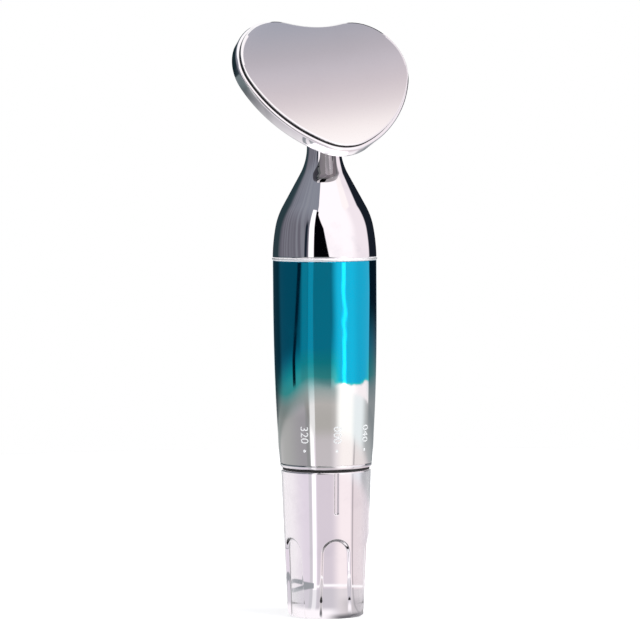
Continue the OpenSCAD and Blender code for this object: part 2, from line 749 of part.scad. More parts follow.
module motor_cradle() {
    window_w = strip_w + over;
    color([0.9, 0.9, 0.88]) difference() {
        rotate_extrude() polygon([[ledge_r, cradle_z], [seat_r, cradle_z],
            [seat_r, cradle_z + cradle_flange_t], [cradle_r, cradle_z + cradle_flange_t],
            [cradle_r, cradle_end_z - cradle_flange_t],
            [seat_r, cradle_end_z - cradle_flange_t], [seat_r, cradle_end_z], [cradle_bore_r, cradle_end_z],
            [cradle_bore_r, motor_z - seat_gap], [ledge_r, motor_z - seat_gap]]);
        for (side = [-1, 1])
            translate([side * screw_x, 0, cradle_end_z - cradle_flange_t - over])
                cylinder(h = cradle_flange_t + 2 * over, r = cradle_screw_r + screw_gap);
        // Window that lets the strip and its lead in
        rotate([0, 0, strip_azimuth])
            translate([-window_w / 2, -seat_r - over, cradle_z - over])
                cube([window_w, seat_r - ledge_r + 2 * over, motor_z - cradle_z]);
    }
}

module cradle_screws() {
    color(steel_colour) for (side = [-1, 1])
        translate([side * screw_x, 0, cradle_end_z - cradle_flange_t - eps])
            screw(cradle_screw_r, cradle_screw_len, screw_head_r, cradle_screw_head_h);
}

module motor_can() {
    color(steel_colour) rotate_extrude() polygon([[can_bore_r, can_z], [motor_r, can_z],
        [motor_r, cradle_end_z], [bush_r + seat_gap, cradle_end_z],
        [bush_r + seat_gap, cradle_end_z - can_wall], [can_bore_r, cradle_end_z - can_wall]]);
}

module motor_end_cap() {
    color(black_colour) difference() {
        union() {
            translate([0, 0, motor_z]) cylinder(h = end_cap_t - eps, r = motor_r);
            translate([0, 0, motor_z]) cylinder(h = end_cap_t + end_cap_spigot, r = can_bore_r - seat_gap);
        }
        translate([0, 0, low_bush_z]) cylinder(h = end_cap_t + end_cap_spigot, r = bush_r + seat_gap);
        for (side = [-1, 1])
            translate([side * tab_x - tab_t, -tab_w / 2 - seat_gap, motor_z - over])
                cube([2 * tab_t, tab_w + 2 * seat_gap, end_cap_t + end_cap_spigot + 2 * over]);
    }
}

module motor_terminals() {
    color(brass_colour) for (side = [-1, 1])
        translate([side * tab_x - tab_t / 2, -tab_w / 2, terminal_z])
            cube([tab_t, tab_w, terminal_len + end_cap_t + end_cap_spigot]);
}

module motor_magnets() {
    for (azimuth = [-90, 90])
        color([0.25, 0.25, 0.27])
            sector(magnet_r - magnet_t, magnet_r, magnet_z, magnet_len, azimuth, magnet_angle);
}

module shaft_bushes() {
    for (z = [low_bush_z, top_bush_z])
        color(brass_colour) translate([0, 0, z]) difference() {
            cylinder(h = bush_len, r = bush_r);
            translate([0, 0, -over]) cylinder(h = bush_len + 2 * over, r = bush_bore_r);
        }
}

module motor_armature() {
    poles = 3;
    commutator_z = can_z + end_cap_spigot + turn_gap;
    color([0.62, 0.34, 0.18]) difference() {
        union() {
            translate([0, 0, iron_z]) cylinder(h = armature_len, r = armature_r);
            translate([0, 0, commutator_z]) cylinder(h = iron_z - commutator_z, r = commutator_r);
        }
        for (i = [0 : poles - 1]) rotate([0, 0, i * 360 / poles])
            translate([-armature_slot_w / 2, -armature_r - over, iron_z - over])
                cube([armature_slot_w, armature_slot_depth + over, armature_len + 2 * over]);
        translate([0, 0, commutator_z - over])
            cylinder(h = iron_z + armature_len - commutator_z + 2 * over, r = press_bore_r);
    }
}

module motor_shaft() {
    color(steel_colour) translate([0, 0, shaft_z]) cylinder(h = shaft_end_z - shaft_z, r = shaft_r);
}

module eccentric_weight() {
    color([0.72, 0.62, 0.42]) translate([0, 0, weight_z]) difference() {
        union() {
            cylinder(h = weight_h, r = press_bore_r + hub_wall);
            rotate_extrude(angle = 180) square([weight_r, weight_h]);
        }
        translate([0, 0, -over]) cylinder(h = weight_h + 2 * over, r = press_bore_r);
    }
}

// Leads, by hand-chosen points between the soldered ends
lead_lap = 0.8;
lead_x = tab_x + tab_t / 2 + lead_r;
lead_low_z = tab_end_z - lead_lap;
lead_high_z = terminal_z + lead_lap;
positive_route = [[lead_x, 0, lead_low_z], [lead_x, 0.2, lead_low_z + 1.2],
    [lead_x, 0.5, (lead_low_z + lead_high_z) / 2],
    [lead_x, 0.2, lead_high_z - 1.2], [lead_x, 0, lead_high_z]];
strip_lead_x = tube_bore_r + seat_gap - lead_r;
negative_route = [[-strip_lead_x, 0, lead_low_z], [-strip_lead_x, 0.1, lead_low_z + 1],
    [0.8 - strip_lead_x, 0.3, lead_low_z + 2], [-lead_x - 0.6, 0.2, lead_high_z - 1],
    [-lead_x, 0, lead_high_z]];

module positive_lead() {
    color([0.75, 0.1, 0.08]) tube_along(positive_route, lead_r, 8, "side");
}

module negative_lead() {
    color(black_colour) tube_along(negative_route, lead_r, 8, "side");
}

head_face_plate();
head_back_shell();
stem_pin();
head_screw();
neck_shell();
collar_ring();
sleeve();
lower_trim_ring();
battery_tube();
seal_ring();
twist_cap();
cap_contact_strip();
contact_spring();
aa_cell();
positive_contact();
switch_strip();
motor_cradle();
cradle_screws();
motor_can();
motor_end_cap();
motor_terminals();
motor_magnets();
shaft_bushes();
motor_armature();
motor_shaft();
eccentric_weight();
positive_lead();
negative_lead();
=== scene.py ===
# Vibrating facial massager: a polished heart on a bell neck, a faded lacquer sleeve and a twist cap.
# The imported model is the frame. It gives the places and main sizes, and this script gives the looks.
import math

import bmesh
import bpy
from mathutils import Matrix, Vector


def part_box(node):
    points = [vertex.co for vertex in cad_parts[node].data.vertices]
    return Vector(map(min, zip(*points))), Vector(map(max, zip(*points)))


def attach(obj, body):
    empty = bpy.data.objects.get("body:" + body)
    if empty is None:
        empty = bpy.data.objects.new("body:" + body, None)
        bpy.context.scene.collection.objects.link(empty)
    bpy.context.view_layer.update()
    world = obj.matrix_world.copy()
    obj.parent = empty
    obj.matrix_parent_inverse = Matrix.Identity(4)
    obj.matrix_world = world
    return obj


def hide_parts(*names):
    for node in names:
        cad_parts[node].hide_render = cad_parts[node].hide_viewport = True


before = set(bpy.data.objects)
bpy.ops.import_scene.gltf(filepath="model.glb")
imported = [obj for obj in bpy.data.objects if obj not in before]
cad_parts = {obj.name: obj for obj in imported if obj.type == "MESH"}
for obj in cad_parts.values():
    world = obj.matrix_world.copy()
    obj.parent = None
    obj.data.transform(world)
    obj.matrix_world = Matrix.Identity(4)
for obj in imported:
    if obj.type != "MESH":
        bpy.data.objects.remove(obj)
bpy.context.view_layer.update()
mm = 0.001
print("frame loaded")


# Helpers for drawing and turning profiles, as by hand in edit mode

turnSteps = 192  # Columns of every turned piece but the cap
hair = 0.001  # Points closer than this, in millimetres, are one


def pickPiece(piece):
    bpy.ops.object.select_all(action="DESELECT")
    piece.select_set(True)
    bpy.context.view_layer.objects.active = piece


def beginEdit(piece):
    pickPiece(piece)
    bpy.ops.object.mode_set(mode="EDIT")


def endEdit():
    bpy.ops.object.mode_set(mode="OBJECT")


def applyPlace():
    bpy.ops.object.transform_apply(location=True, rotation=True, scale=True)


def namePiece(piece, name):
    piece.name = name
    piece.data.name = name


def mergeAll(within=hair):
    bpy.ops.mesh.select_all(action="SELECT")
    bpy.ops.mesh.remove_doubles(threshold=within * mm)


def closeSolid():
    mergeAll()
    bpy.ops.mesh.dissolve_degenerate(threshold=hair * mm)
    bpy.ops.mesh.normals_make_consistent(inside=False)


def drawLine(name, start, moves, flat=False):
    # Draws a chain of edges from one point, in millimetres across and up: standing in XZ, or flat in XY
    def place(across, up):
        return (across * mm, up * mm, 0) if flat else (across * mm, 0, up * mm)

    axis = (0, 0, -1) if flat else (0, 1, 0)
    bpy.ops.object.select_all(action="DESELECT")
    bpy.ops.mesh.primitive_plane_add(size=mm, location=(0, 0, 0))
    piece = bpy.context.object
    namePiece(piece, name)
    beginEdit(piece)
    bpy.ops.mesh.merge(type="CENTER")
    bpy.ops.transform.translate(value=place(*start))
    pen = start
    for kind, across, up, *bend in moves:
        if kind == "line":
            step = place(across - pen[0], up - pen[1])
            bpy.ops.mesh.extrude_region_move(TRANSFORM_OT_translate={"value": step})
            pen = (across, up)
        else:
            turn, steps = math.radians(bend[0]), bend[1]
            bpy.ops.mesh.spin(steps=steps, angle=turn, center=place(across, up), axis=axis)
            dx, dy = pen[0] - across, pen[1] - up
            pen = (across + dx * math.cos(turn) - dy * math.sin(turn),
                   up + dx * math.sin(turn) + dy * math.cos(turn))
    return piece


def turnRound():
    # Spins the drawn profile round the handle's axis and closes the solid
    bpy.ops.mesh.select_all(action="SELECT")
    bpy.ops.mesh.spin(steps=turnSteps, angle=math.tau, center=(0, 0, 0), axis=(0, 0, 1))
    closeSolid()


def pickFlat(piece, towards):
    # Selects the faces that look up, or down where towards is -1
    bpy.ops.mesh.select_all(action="DESELECT")
    mesh = bmesh.from_edit_mesh(piece.data)
    for face in mesh.faces:
        if face.normal.z * towards > 0.9:
            face.select = True
    bmesh.update_edit_mesh(piece.data)


def moveVertices(piece, move):
    mesh = bmesh.from_edit_mesh(piece.data)
    for vertex in mesh.verts:
        move(vertex.co)
    bmesh.update_edit_mesh(piece.data)


def roundIn(arc, steps, degrees=90):
    # Carries the selected face round a quarter curve or part of it, from a wall towards a flat
    for i in range(steps):
        low = math.radians(degrees * i / steps)
        high = math.radians(degrees * (i + 1) / steps)
        bpy.ops.mesh.inset(thickness=arc * mm * (math.cos(low) - math.cos(high)),
                           depth=arc * mm * (math.sin(high) - math.sin(low)))


def finishPiece(piece, body, node, finish, sharpest=35):
    if piece.mode == "EDIT":
        endEdit()
    pickPiece(piece)
    applyPlace()
    bpy.ops.object.shade_smooth_by_angle(angle=math.radians(sharpest))
    piece.data.materials.clear()
    piece.data.materials.append(finishes[finish])
    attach(piece, body)
    if node:
        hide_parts(node)


# Helpers for shader nodes

def metres(*lengths):
    return [length * mm for length in lengths]


def feed(tree, sockets, values):
    # Links or sets sockets by name or number. A colour is given without its alpha
    for name, value in values.items():
        socket = sockets[name]
        if isinstance(value, bpy.types.NodeSocket):
            tree.links.new(value, socket)
        else:
            socket.default_value = (*value, 1) if socket.type == "RGBA" else value


def addNode(tree, kind, inputs=None, **settings):
    node = tree.nodes.new("ShaderNode" + kind)
    for name, value in settings.items():
        setattr(node, name, value)
    feed(tree, node.inputs, inputs or {})
    return node


def calc(tree, operation, *values):
    return addNode(tree, "Math", dict(enumerate(values)), operation=operation).outputs[0]


def times(tree, *masks):
    share = masks[0]
    for mask in masks[1:]:
        share = calc(tree, "MULTIPLY", share, mask)
    return share


def mapSpan(tree, value, start, full, toLow=0.0, toHigh=1.0, kind="SMOOTHSTEP"):
    # Gives toLow at start and toHigh at full, which may lie on either side of it
    return addNode(tree, "MapRange", {
        "Value": value, "From Min": start, "From Max": full,
        "To Min": toLow, "To Max": toHigh}, interpolation_type=kind).outputs["Result"]


def softBand(tree, value, centre, half, soft):
    away = calc(tree, "ABSOLUTE", calc(tree, "SUBTRACT", value, centre))
    return mapSpan(tree, away, half + soft, half - soft)


def mixFloat(tree, share, under, over):
    return addNode(tree, "Mix", {"Factor": share, "A": under, "B": over}).outputs["Result"]


def mixColour(tree, share, under, over, blend="MIX"):
    # The node's colours go in at 6 and 7 and come out at 2
    return addNode(tree, "Mix", {"Factor": share, 6: under, 7: over},
                   data_type="RGBA", blend_type=blend).outputs[2]


def layTones(tree, colour, layers):
    # Lays named tones over a colour, each where its mask is one
    for mask, tone in layers.values():
        colour = mixColour(tree, mask, colour, tone)
    return colour


def colourRamp(tree, share, stops):
    # The first stop is at 0 and the last at 1
    node = addNode(tree, "ValToRGB", {"Fac": share})
    elements = node.color_ramp.elements
    elements[0].color, elements[1].color = (*stops[0][1], 1), (*stops[-1][1], 1)
    for position, tone in stops[1:-1]:
        elements.new(position).color = (*tone, 1)
    return node.outputs["Color"]


def noise(tree, vector, scale, detail=2.0, roughness=0.5):
    return addNode(tree, "TexNoise", {
        "Vector": vector, "Scale": scale, "Detail": detail, "Roughness": roughness}).outputs["Fac"]


def stretched(tree, vector, scale):
    return addNode(tree, "Mapping", {"Vector": vector, "Scale": scale}).outputs["Vector"]


def splitAxes(tree, vector):
    return addNode(tree, "SeparateXYZ", {"Vector": vector}).outputs


def bump(tree, height, strength, distance):
    return addNode(tree, "Bump", {
        "Height": height, "Strength": strength, "Distance": distance * mm}).outputs["Normal"]


def emptyTree(owner):
    owner.use_nodes = True
    owner.node_tree.nodes.clear()
    return owner.node_tree


def newMaterial(name):
    material = bpy.data.materials.new(name)
    tree = emptyTree(material)
    shader = addNode(tree, "BsdfPrincipled")
    addNode(tree, "OutputMaterial", {"Surface": shader.outputs["BSDF"]})
    return material, tree, shader.inputs, addNode(tree, "TexCoord").outputs["Object"]


# Shared effects: each is one node group, placed in every material that shows it

def newGroup(name, inputs, outputs, outputKind="NodeSocketFloat"):
    # An input without a number is a place
    group = bpy.data.node_groups.new(name, "ShaderNodeTree")
    for label, value in inputs.items():
        kind = "NodeSocketVector" if value is None else "NodeSocketFloat"
        socket = group.interface.new_socket(name=label, in_out="INPUT", socket_type=kind)
        if value is not None:
            socket.default_value = value
    for label in outputs:
        group.interface.new_socket(name=label, in_out="OUTPUT", socket_type=outputKind)
    return group, group.nodes.new("NodeGroupInput").outputs, group.nodes.new("NodeGroupOutput").inputs


def placeGroup(tree, group, values):
    return addNode(tree, "Group", values, node_tree=group).outputs


def makeHandling():
    # Fingerprint haze, hairlines left by wiping, and the slow waves of a buffed surface
    group, given, wanted = newGroup("handling", {
        "Place": None, "Haze Scale": 90.0, "Hairline Scale": 900.0, "Wave Scale": 60.0},
        ["Haze", "Hairlines", "Waves"])
    place, hairScale = given["Place"], given["Hairline Scale"]
    smudge = noise(group, place, given["Haze Scale"], 4.0, 0.6)
    fine = noise(group, stretched(group, place, (1, 1, 0.04)), hairScale, 3.0, 0.7)
    faint = noise(group, stretched(group, place, (0.06, 0.06, 1)), hairScale, 3.0, 0.7)
    feed(group, wanted, {
        "Haze": mapSpan(group, smudge, 0.5, 0.72),
        "Hairlines": calc(group, "MAXIMUM", mapSpan(group, fine, 0.62, 0.74), mapSpan(group, faint, 0.64, 0.76)),
        "Waves": noise(group, stretched(group, place, (1, 1, 0.35)), given["Wave Scale"], 1.0, 0.4)})
    return group


def makeGrain():
    # Moulded grain: fine pits with a slow change over the surface
    group, given, wanted = newGroup("mouldedGrain", {"Place": None, "Grain Scale": 2500.0}, ["Grain", "Drift"])
    feed(group, wanted, {
        "Grain": noise(group, given["Place"], given["Grain Scale"], 3.0, 0.6),
        "Drift": noise(group, given["Place"], 120.0)})
    return group


handling = makeHandling()
mouldedGrain = makeGrain()


# Finishes

def belowFace(tree, place):
    # Height above the plane of the head's face, so below zero everywhere behind it
    moved = addNode(tree, "VectorMath", {
        0: place, 1: metres(0, -headForward, headHeight)}, operation="SUBTRACT").outputs["Vector"]
    return addNode(tree, "VectorMath", {
        0: moved, 1: (0, -math.cos(leanAngle), math.sin(leanAngle))}, operation="DOT_PRODUCT").outputs["Value"]


def paintWallShade(tree, place, colour):
    # Paints shade on the upper part of the head's wall, darkest low down: painted shade
    values = {"tone": (0.27, 0.31, 0.335), "deepShare": 0.42, "deepUp": (131.5, 134.5),
              "behindFace": (-1.45, -1.75), "wallUp": (119.5, 130.5), "unevenScale": 260, "unevenLow": 0.8}
    height = splitAxes(tree, place)["Z"]
    wall = mapSpan(tree, belowFace(tree, place), *metres(*values["behindFace"]))
    upper = mapSpan(tree, height, *metres(*values["wallUp"]), kind="LINEAR")
    blots = noise(tree, stretched(tree, place, (1, 1, 0.3)), values["unevenScale"])
    uneven = mapSpan(tree, blots, 0.3, 0.7, values["unevenLow"], 1.0)
    deep = tuple(values["deepShare"] * part for part in values["tone"])
    wallShade = mixColour(tree, mapSpan(tree, height, *metres(*values["deepUp"])), deep, values["tone"])
    return mixColour(tree, times(tree, wall, upper, uneven), colour, wallShade)


def plateFinish(name, bright, dull, rough, wave=0.010, metallic=1.0, milky=0.0, mirrorShadeAndGlow=1.0, shadedWall=False):
    # A milky plate pales towards its outline. One with a shaded wall gets painted shade on the head's upper wall.
    # One seen in another mirror gets painted shade there when its level is below one, and a painted glow when above
    # one
    material, tree, shader, place = newMaterial(name)
    marks = placeGroup(tree, handling, {"Place": place, "Haze Scale": 110.0, "Wave Scale": 70.0})
    wear = calc(tree, "MULTIPLY_ADD", marks["Hairlines"], 0.4, marks["Haze"])
    colour = mixColour(tree, marks["Haze"], bright, dull)
    # Painted shade on the head's upper wall
    if shadedWall:
        colour = paintWallShade(tree, place, colour)
    mirrored = addNode(tree, "LightPath").outputs["Is Glossy Ray"]
    # Painted shade where another mirror sees this plate
    if mirrorShadeAndGlow < 1.0:
        colour = mixColour(tree, mirrored, colour, tuple(mirrorShadeAndGlow * part for part in dull))
    # Painted glow where another mirror sees this plate: painted light
    if mirrorShadeAndGlow > 1.0:
        glow = tuple((mirrorShadeAndGlow - 1.0) * part for part in bright)
        feed(tree, shader, {"Emission Color": mixColour(tree, mirrored, (0, 0, 0), glow), "Emission Strength": 1.0})
    if milky > 0.0:
        facing = addNode(tree, "LayerWeight", {"Blend": 0.5}).outputs["Facing"]
        metallic = mapSpan(tree, facing, 0.25, 0.8, metallic, metallic - milky)
    feed(tree, shader, {
        "Base Color": colour,
        "Metallic": metallic,
        "Roughness": mapSpan(tree, wear, 0.0, 1.4, *rough, "LINEAR"),
        "Normal": bump(tree, marks["Waves"], 1.0, wave)})
    return material


def faceFinish():
    # The plate's face is a polished mirror and its standing edge is lined with black: painted shade along its joint
    # with the rim
    values = {"bright": (0.90, 0.89, 0.90), "dull": (0.885, 0.875, 0.885), "rough": (0.05, 0.06),
              "edgeShadeTone": (0.006, 0.006, 0.007), "edgeShadeDepth": (-0.20, -0.26), "wave": 0.003}
    material, tree, shader, place = newMaterial("faceMirror")
    # Painted shade: black on the standing edge, below the face's plane
    line = mapSpan(tree, belowFace(tree, place), *metres(*values["edgeShadeDepth"]))
    marks = placeGroup(tree, handling, {"Place": place, "Haze Scale": 60.0, "Wave Scale": 70.0})
    metal = mixColour(tree, marks["Haze"], values["bright"], values["dull"])
    feed(tree, shader, {
        "Base Color": mixColour(tree, line, metal, values["edgeShadeTone"]),
        "Metallic": mapSpan(tree, line, 0.0, 1.0, 1.0, 0.0, "LINEAR"),
        "Roughness": mapSpan(tree, marks["Haze"], 0.0, 1.0, *values["rough"], "LINEAR"),
        "Normal": bump(tree, marks["Waves"], 1.0, values["wave"])})
    return material


def fadeLacquer():
    # Candy lacquer over bright metal. It thins out towards the cap: slowly on the left, and with a drop's
    # edge in front on the right, as sprayed lacquer does. Heights in millimetres, turns in degrees
    values = {
        "fade": (54, 69), "wobble": 2.2, "tilt": 4.5, "tiltTurn": (-42, -85),
        "dropUp": (58.6, 60.2), "ragged": 1.3, "dropTurn": 7, "dropHalf": 21, "dropSide": 6,
        "tones": [(0.0, (0.96, 0.945, 0.935)), (0.25, (0.60, 0.74, 0.74)), (0.5, (0.07, 0.56, 0.57)),
                  (0.75, (0.010, 0.47, 0.56)), (1.0, (0.003, 0.42, 0.64))],
        "bareUp": (62, 50), "rough": (0.05, 0.09), "wave": 0.6, "calmUp": (82, 89), "calmLeast": 0.25,
    }
    material, tree, shader, place = newMaterial("fadeLacquer")
    parts = splitAxes(tree, place)
    wobble = metres(-values["wobble"], values["wobble"])
    height = calc(tree, "ADD", parts["Z"], mapSpan(tree, noise(tree, place, 55.0), 0.0, 1.0, *wobble, "LINEAR"))
    turn = calc(tree, "DEGREES", calc(tree, "ARCTAN2", parts["X"], calc(tree, "MULTIPLY", parts["Y"], -1.0)))
    tilted = calc(tree, "ADD", height, mapSpan(tree, turn, *values["tiltTurn"], 0.0, values["tilt"] * mm))
    slow = mapSpan(tree, tilted, *metres(*values["fade"]), kind="LINEAR")
    ragged = metres(-values["ragged"], values["ragged"])
    jagged = calc(tree, "ADD", parts["Z"], mapSpan(tree, noise(tree, place, 230.0), 0.2, 0.8, *ragged, "LINEAR"))
    sharp = mapSpan(tree, jagged, *metres(*values["dropUp"]))
    drop = softBand(tree, turn, values["dropTurn"], values["dropHalf"], values["dropSide"])
    lacquer = colourRamp(tree, mixFloat(tree, drop, slow, sharp), values["tones"])
    # The bare metal under it has painted shade on the left, where it is greyer, and one bright strip that is a
    # painted highlight of the strip light
    metal = layTones(tree, (0.42, 0.44, 0.43), {
        "middle": (mapSpan(tree, turn, -48, -40), (0.77, 0.79, 0.76)),
        "strip": (softBand(tree, turn, -43.5, 3.1, 0.5), (1, 1, 1)),
        "front": (mapSpan(tree, turn, -24, -14), (0.97, 1.0, 0.985))})
    bare = mapSpan(tree, height, *metres(*values["bareUp"]))
    marks = placeGroup(tree, handling, {"Place": place, "Haze Scale": 80.0, "Wave Scale": 60.0})
    calm = mapSpan(tree, parts["Z"], *metres(*values["calmUp"]), 1.0, values["calmLeast"])
    feed(tree, shader, {
        "Base Color": mixColour(tree, bare, lacquer, metal, "MULTIPLY"),
        "Metallic": 1.0,
        "Roughness": mapSpan(tree, marks["Haze"], 0.0, 1.0, *values["rough"], "LINEAR"),
        "Normal": bump(tree, marks["Waves"], calm, values["wave"]),
        "Coat Weight": 0.12,
        "Coat Roughness": 0.03})
    return material


def plainFinish(name, light, dark, rough, metallic=0.0, grainHeight=0.01, grainScale=2500.0):
    material, tree, shader, place = newMaterial(name)
    grain = placeGroup(tree, mouldedGrain, {"Place": place, "Grain Scale": grainScale})
    feed(tree, shader, {
        "Base Color": mixColour(tree, grain["Drift"], light, dark),
        "Metallic": metallic,
        "Roughness": mapSpan(tree, grain["Grain"], 0.3, 0.7, *rough, "LINEAR"),
        "Normal": bump(tree, grain["Grain"], 0.5, grainHeight)})
    return material


def brushedFinish(name, light, dark, rough, stretch=(1, 1, 0.03)):
    material, tree, shader, place = newMaterial(name)
    lines = noise(tree, stretched(tree, place, stretch), 1400.0, 3.0, 0.7)
    feed(tree, shader, {
        "Base Color": mixColour(tree, lines, light, dark),
        "Metallic": 1.0,
        "Roughness": mapSpan(tree, lines, 0.3, 0.7, *rough, "LINEAR"),
        "Normal": bump(tree, lines, 0.3, 0.004)})
    return material


def cellJacket():
    # Printed sleeve in two plain tones, with the bare steel ends of the can. Heights above the cell's foot
    values = {"endBand": 1.6, "button": 1.0, "bandEdge": 0.1, "pale": (37.0, 38.6), "steel": (0.62, 0.62, 0.6),
              "dark": (0.03, 0.12, 0.08), "gold": (0.35, 0.33, 0.12)}
    material, tree, shader, place = newMaterial("cellJacket")
    low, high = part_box("aa_cell")
    length = (high.z - low.z) / mm
    height = calc(tree, "SUBTRACT", splitAxes(tree, place)["Z"], low.z)
    band, edge, shoulder = values["endBand"], values["bandEdge"], length - values["button"]
    jacket = times(tree, mapSpan(tree, height, *metres(band, band + edge)),
                   mapSpan(tree, height, *metres(shoulder - band, shoulder - band - edge)))
    printed = mixColour(tree, mapSpan(tree, height, *metres(*values["pale"])), values["dark"], values["gold"])
    grain = placeGroup(tree, mouldedGrain, {"Place": place})
    feed(tree, shader, {
        "Base Color": mixColour(tree, jacket, values["steel"], printed),
        "Metallic": mapSpan(tree, jacket, 0.0, 1.0, 1.0, 0.25, "LINEAR"),
        "Roughness": mapSpan(tree, grain["Drift"], 0.2, 0.8, 0.2, 0.32, "LINEAR"),
        "Normal": bump(tree, grain["Grain"], 0.2, 0.004)})
    return material


def windingFinish():
    # Copper wire in the gaps and laminated iron on the poles
    material, tree, shader, place = newMaterial("winding")
    sheets = addNode(tree, "TexWave", {
        "Vector": place, "Scale": 900.0, "Distortion": 0.3, "Detail": 1.0}, bands_direction="Z").outputs["Fac"]
    feed(tree, shader, {
        "Base Color": mixColour(tree, sheets, (0.55, 0.24, 0.11), (0.30, 0.14, 0.08)),
        "Metallic": 1.0,
        "Roughness": mapSpan(tree, sheets, 0.0, 1.0, 0.28, 0.5, "LINEAR"),
        "Normal": bump(tree, sheets, 0.6, 0.05)})
    return material


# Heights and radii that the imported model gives, in millimetres
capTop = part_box("twist_cap")[1].z / mm
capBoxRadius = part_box("twist_cap")[1].x / mm
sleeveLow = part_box("sleeve")[0].z / mm
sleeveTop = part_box("sleeve")[1].z / mm
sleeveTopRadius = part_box("sleeve")[1].x / mm
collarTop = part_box("collar_ring")[1].z / mm
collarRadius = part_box("collar_ring")[1].x / mm
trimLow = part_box("lower_trim_ring")[0].z / mm
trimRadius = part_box("lower_trim_ring")[1].x / mm
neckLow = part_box("neck_shell")[0].z / mm
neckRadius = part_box("neck_shell")[1].x / mm
sealMiddle = (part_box("seal_ring")[0].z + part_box("seal_ring")[1].z) / 2 / mm
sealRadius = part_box("seal_ring")[1].x / mm

# Head: a heart of eight arcs, drawn flat and then leaned back on the stem
headShape = {
    "lobeRadius": 11.8, "lobeAside": 10.9, "notchRadius": 30, "flankRadius": 32.3,
    "tipRadius": 12.2, "tipDrop": 10.9, "arcSteps": (12, 56, 26, 20), "roundSteps": (10, 8, 6),
    "lean": 30.5,
    "rimWidth": 1.5, "rimDrop": 1.0, "rimRound": 0.65, "bevelTurn": 60, "bevelWidth": 0.3, "backRound": 1.8,
    "thickness": 5.4, "plateDepth": 1.2, "plateSpread": 0.72, "plateGap": 0.04, "plateSeat": 0.03,
    "edgeRound": 0.12, "edgeTurn": 77, "edgeBevel": 0.26,
    "crown": 0.30, "crownRings": 6, "ringWidth": 0.5, "crownSpans": 57, "crownDrop": 4,
}
plateBox = [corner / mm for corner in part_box("head_face_plate")]
leanAngle = math.radians(headShape["lean"])
headHeight = plateBox[1].z - headShape["lobeRadius"] * math.cos(leanAngle)
headForward = -plateBox[0].y - (headShape["tipDrop"] + headShape["tipRadius"]) * math.sin(leanAngle)

plates = {
    "mirrorPlate": {"bright": (0.90, 0.87, 0.89), "dull": (0.82, 0.80, 0.83), "rough": (0.015, 0.06)},
    # The neck glows where another mirror sees it: painted light
    "neckMirror": {"bright": (0.90, 0.87, 0.89), "dull": (0.82, 0.80, 0.83), "rough": (0.015, 0.06),
                   "mirrorShadeAndGlow": 1.9},
    # The shell gets painted shade on its upper wall and where another mirror sees it
    "shellMirror": {"bright": (0.92, 0.90, 0.92), "dull": (0.86, 0.84, 0.86), "rough": (0.015, 0.05),
                    "wave": 0.006, "mirrorShadeAndGlow": 0.3, "shadedWall": True},
    "satinPlate": {"bright": (0.97, 0.97, 0.98), "dull": (0.93, 0.93, 0.95), "rough": (0.28, 0.34),
                   "wave": 0.004, "metallic": 0.55},
    # The cap is painted darker where another mirror sees it: painted shade
    "capMirror": {"bright": (0.93, 0.90, 0.925), "dull": (0.88, 0.85, 0.88), "rough": (0.015, 0.05),
                  "milky": 0.4, "mirrorShadeAndGlow": 0.3},
}
plains = {
    "printInk": ((0.93, 0.94, 0.95), (0.86, 0.88, 0.89), (0.4, 0.55)),
    "blackPlastic": ((0.045, 0.045, 0.05), (0.03, 0.03, 0.034), (0.38, 0.52)),
    "sealRubber": ((0.018, 0.018, 0.018), (0.03, 0.03, 0.03), (0.55, 0.75)),
    "cradlePlastic": ((0.86, 0.86, 0.83), (0.80, 0.80, 0.76), (0.42, 0.58)),
    "magnet": ((0.13, 0.13, 0.14), (0.08, 0.08, 0.09), (0.5, 0.75), 0.6, 0.02, 1500.0),
    "redInsulation": ((0.60, 0.05, 0.04), (0.48, 0.035, 0.03), (0.35, 0.5)),
    "blackInsulation": ((0.04, 0.04, 0.04), (0.025, 0.025, 0.025), (0.35, 0.5)),
}
brushed = {
    "steel": ((0.62, 0.63, 0.65), (0.48, 0.49, 0.51), (0.22, 0.38)),
    "contactBrass": ((0.80, 0.62, 0.30), (0.66, 0.50, 0.24), (0.2, 0.38)),
    "weightBrass": ((0.66, 0.54, 0.33), (0.52, 0.42, 0.26), (0.25, 0.42), (0.03, 0.03, 1)),
}
finishes = {
    "faceMirror": faceFinish(), "fadeLacquer": fadeLacquer(), "cellJacket": cellJacket(), "winding": windingFinish(),
    **{name: plateFinish(name, **values) for name, values in plates.items()},
    **{name: plainFinish(name, *values) for name, values in plains.items()},
    **{name: brushedFinish(name, *values) for name, values in brushed.items()},
}
print("finishes made")

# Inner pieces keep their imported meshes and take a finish
innerFinish = {
    "steel": ["stem_pin", "head_screw", "contact_spring", "cradle_screws", "motor_can", "motor_shaft"],
    "contactBrass": ["cap_contact_strip", "positive_contact", "switch_strip", "motor_terminals", "shaft_bushes"],
    "blackPlastic": ["battery_tube", "motor_end_cap"], "cellJacket": ["aa_cell"],
    "cradlePlastic": ["motor_cradle"], "magnet": ["motor_magnets"], "winding": ["motor_armature"],
    "weightBrass": ["eccentric_weight"], "redInsulation": ["positive_lead"], "blackInsulation": ["negative_lead"],
}
for finishName, nodeNames in innerFinish.items():
    for nodeName in nodeNames:
        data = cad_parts[nodeName].data
        data.materials.clear()
        data.materials.append(finishes[finishName])
print("inner pieces finished")


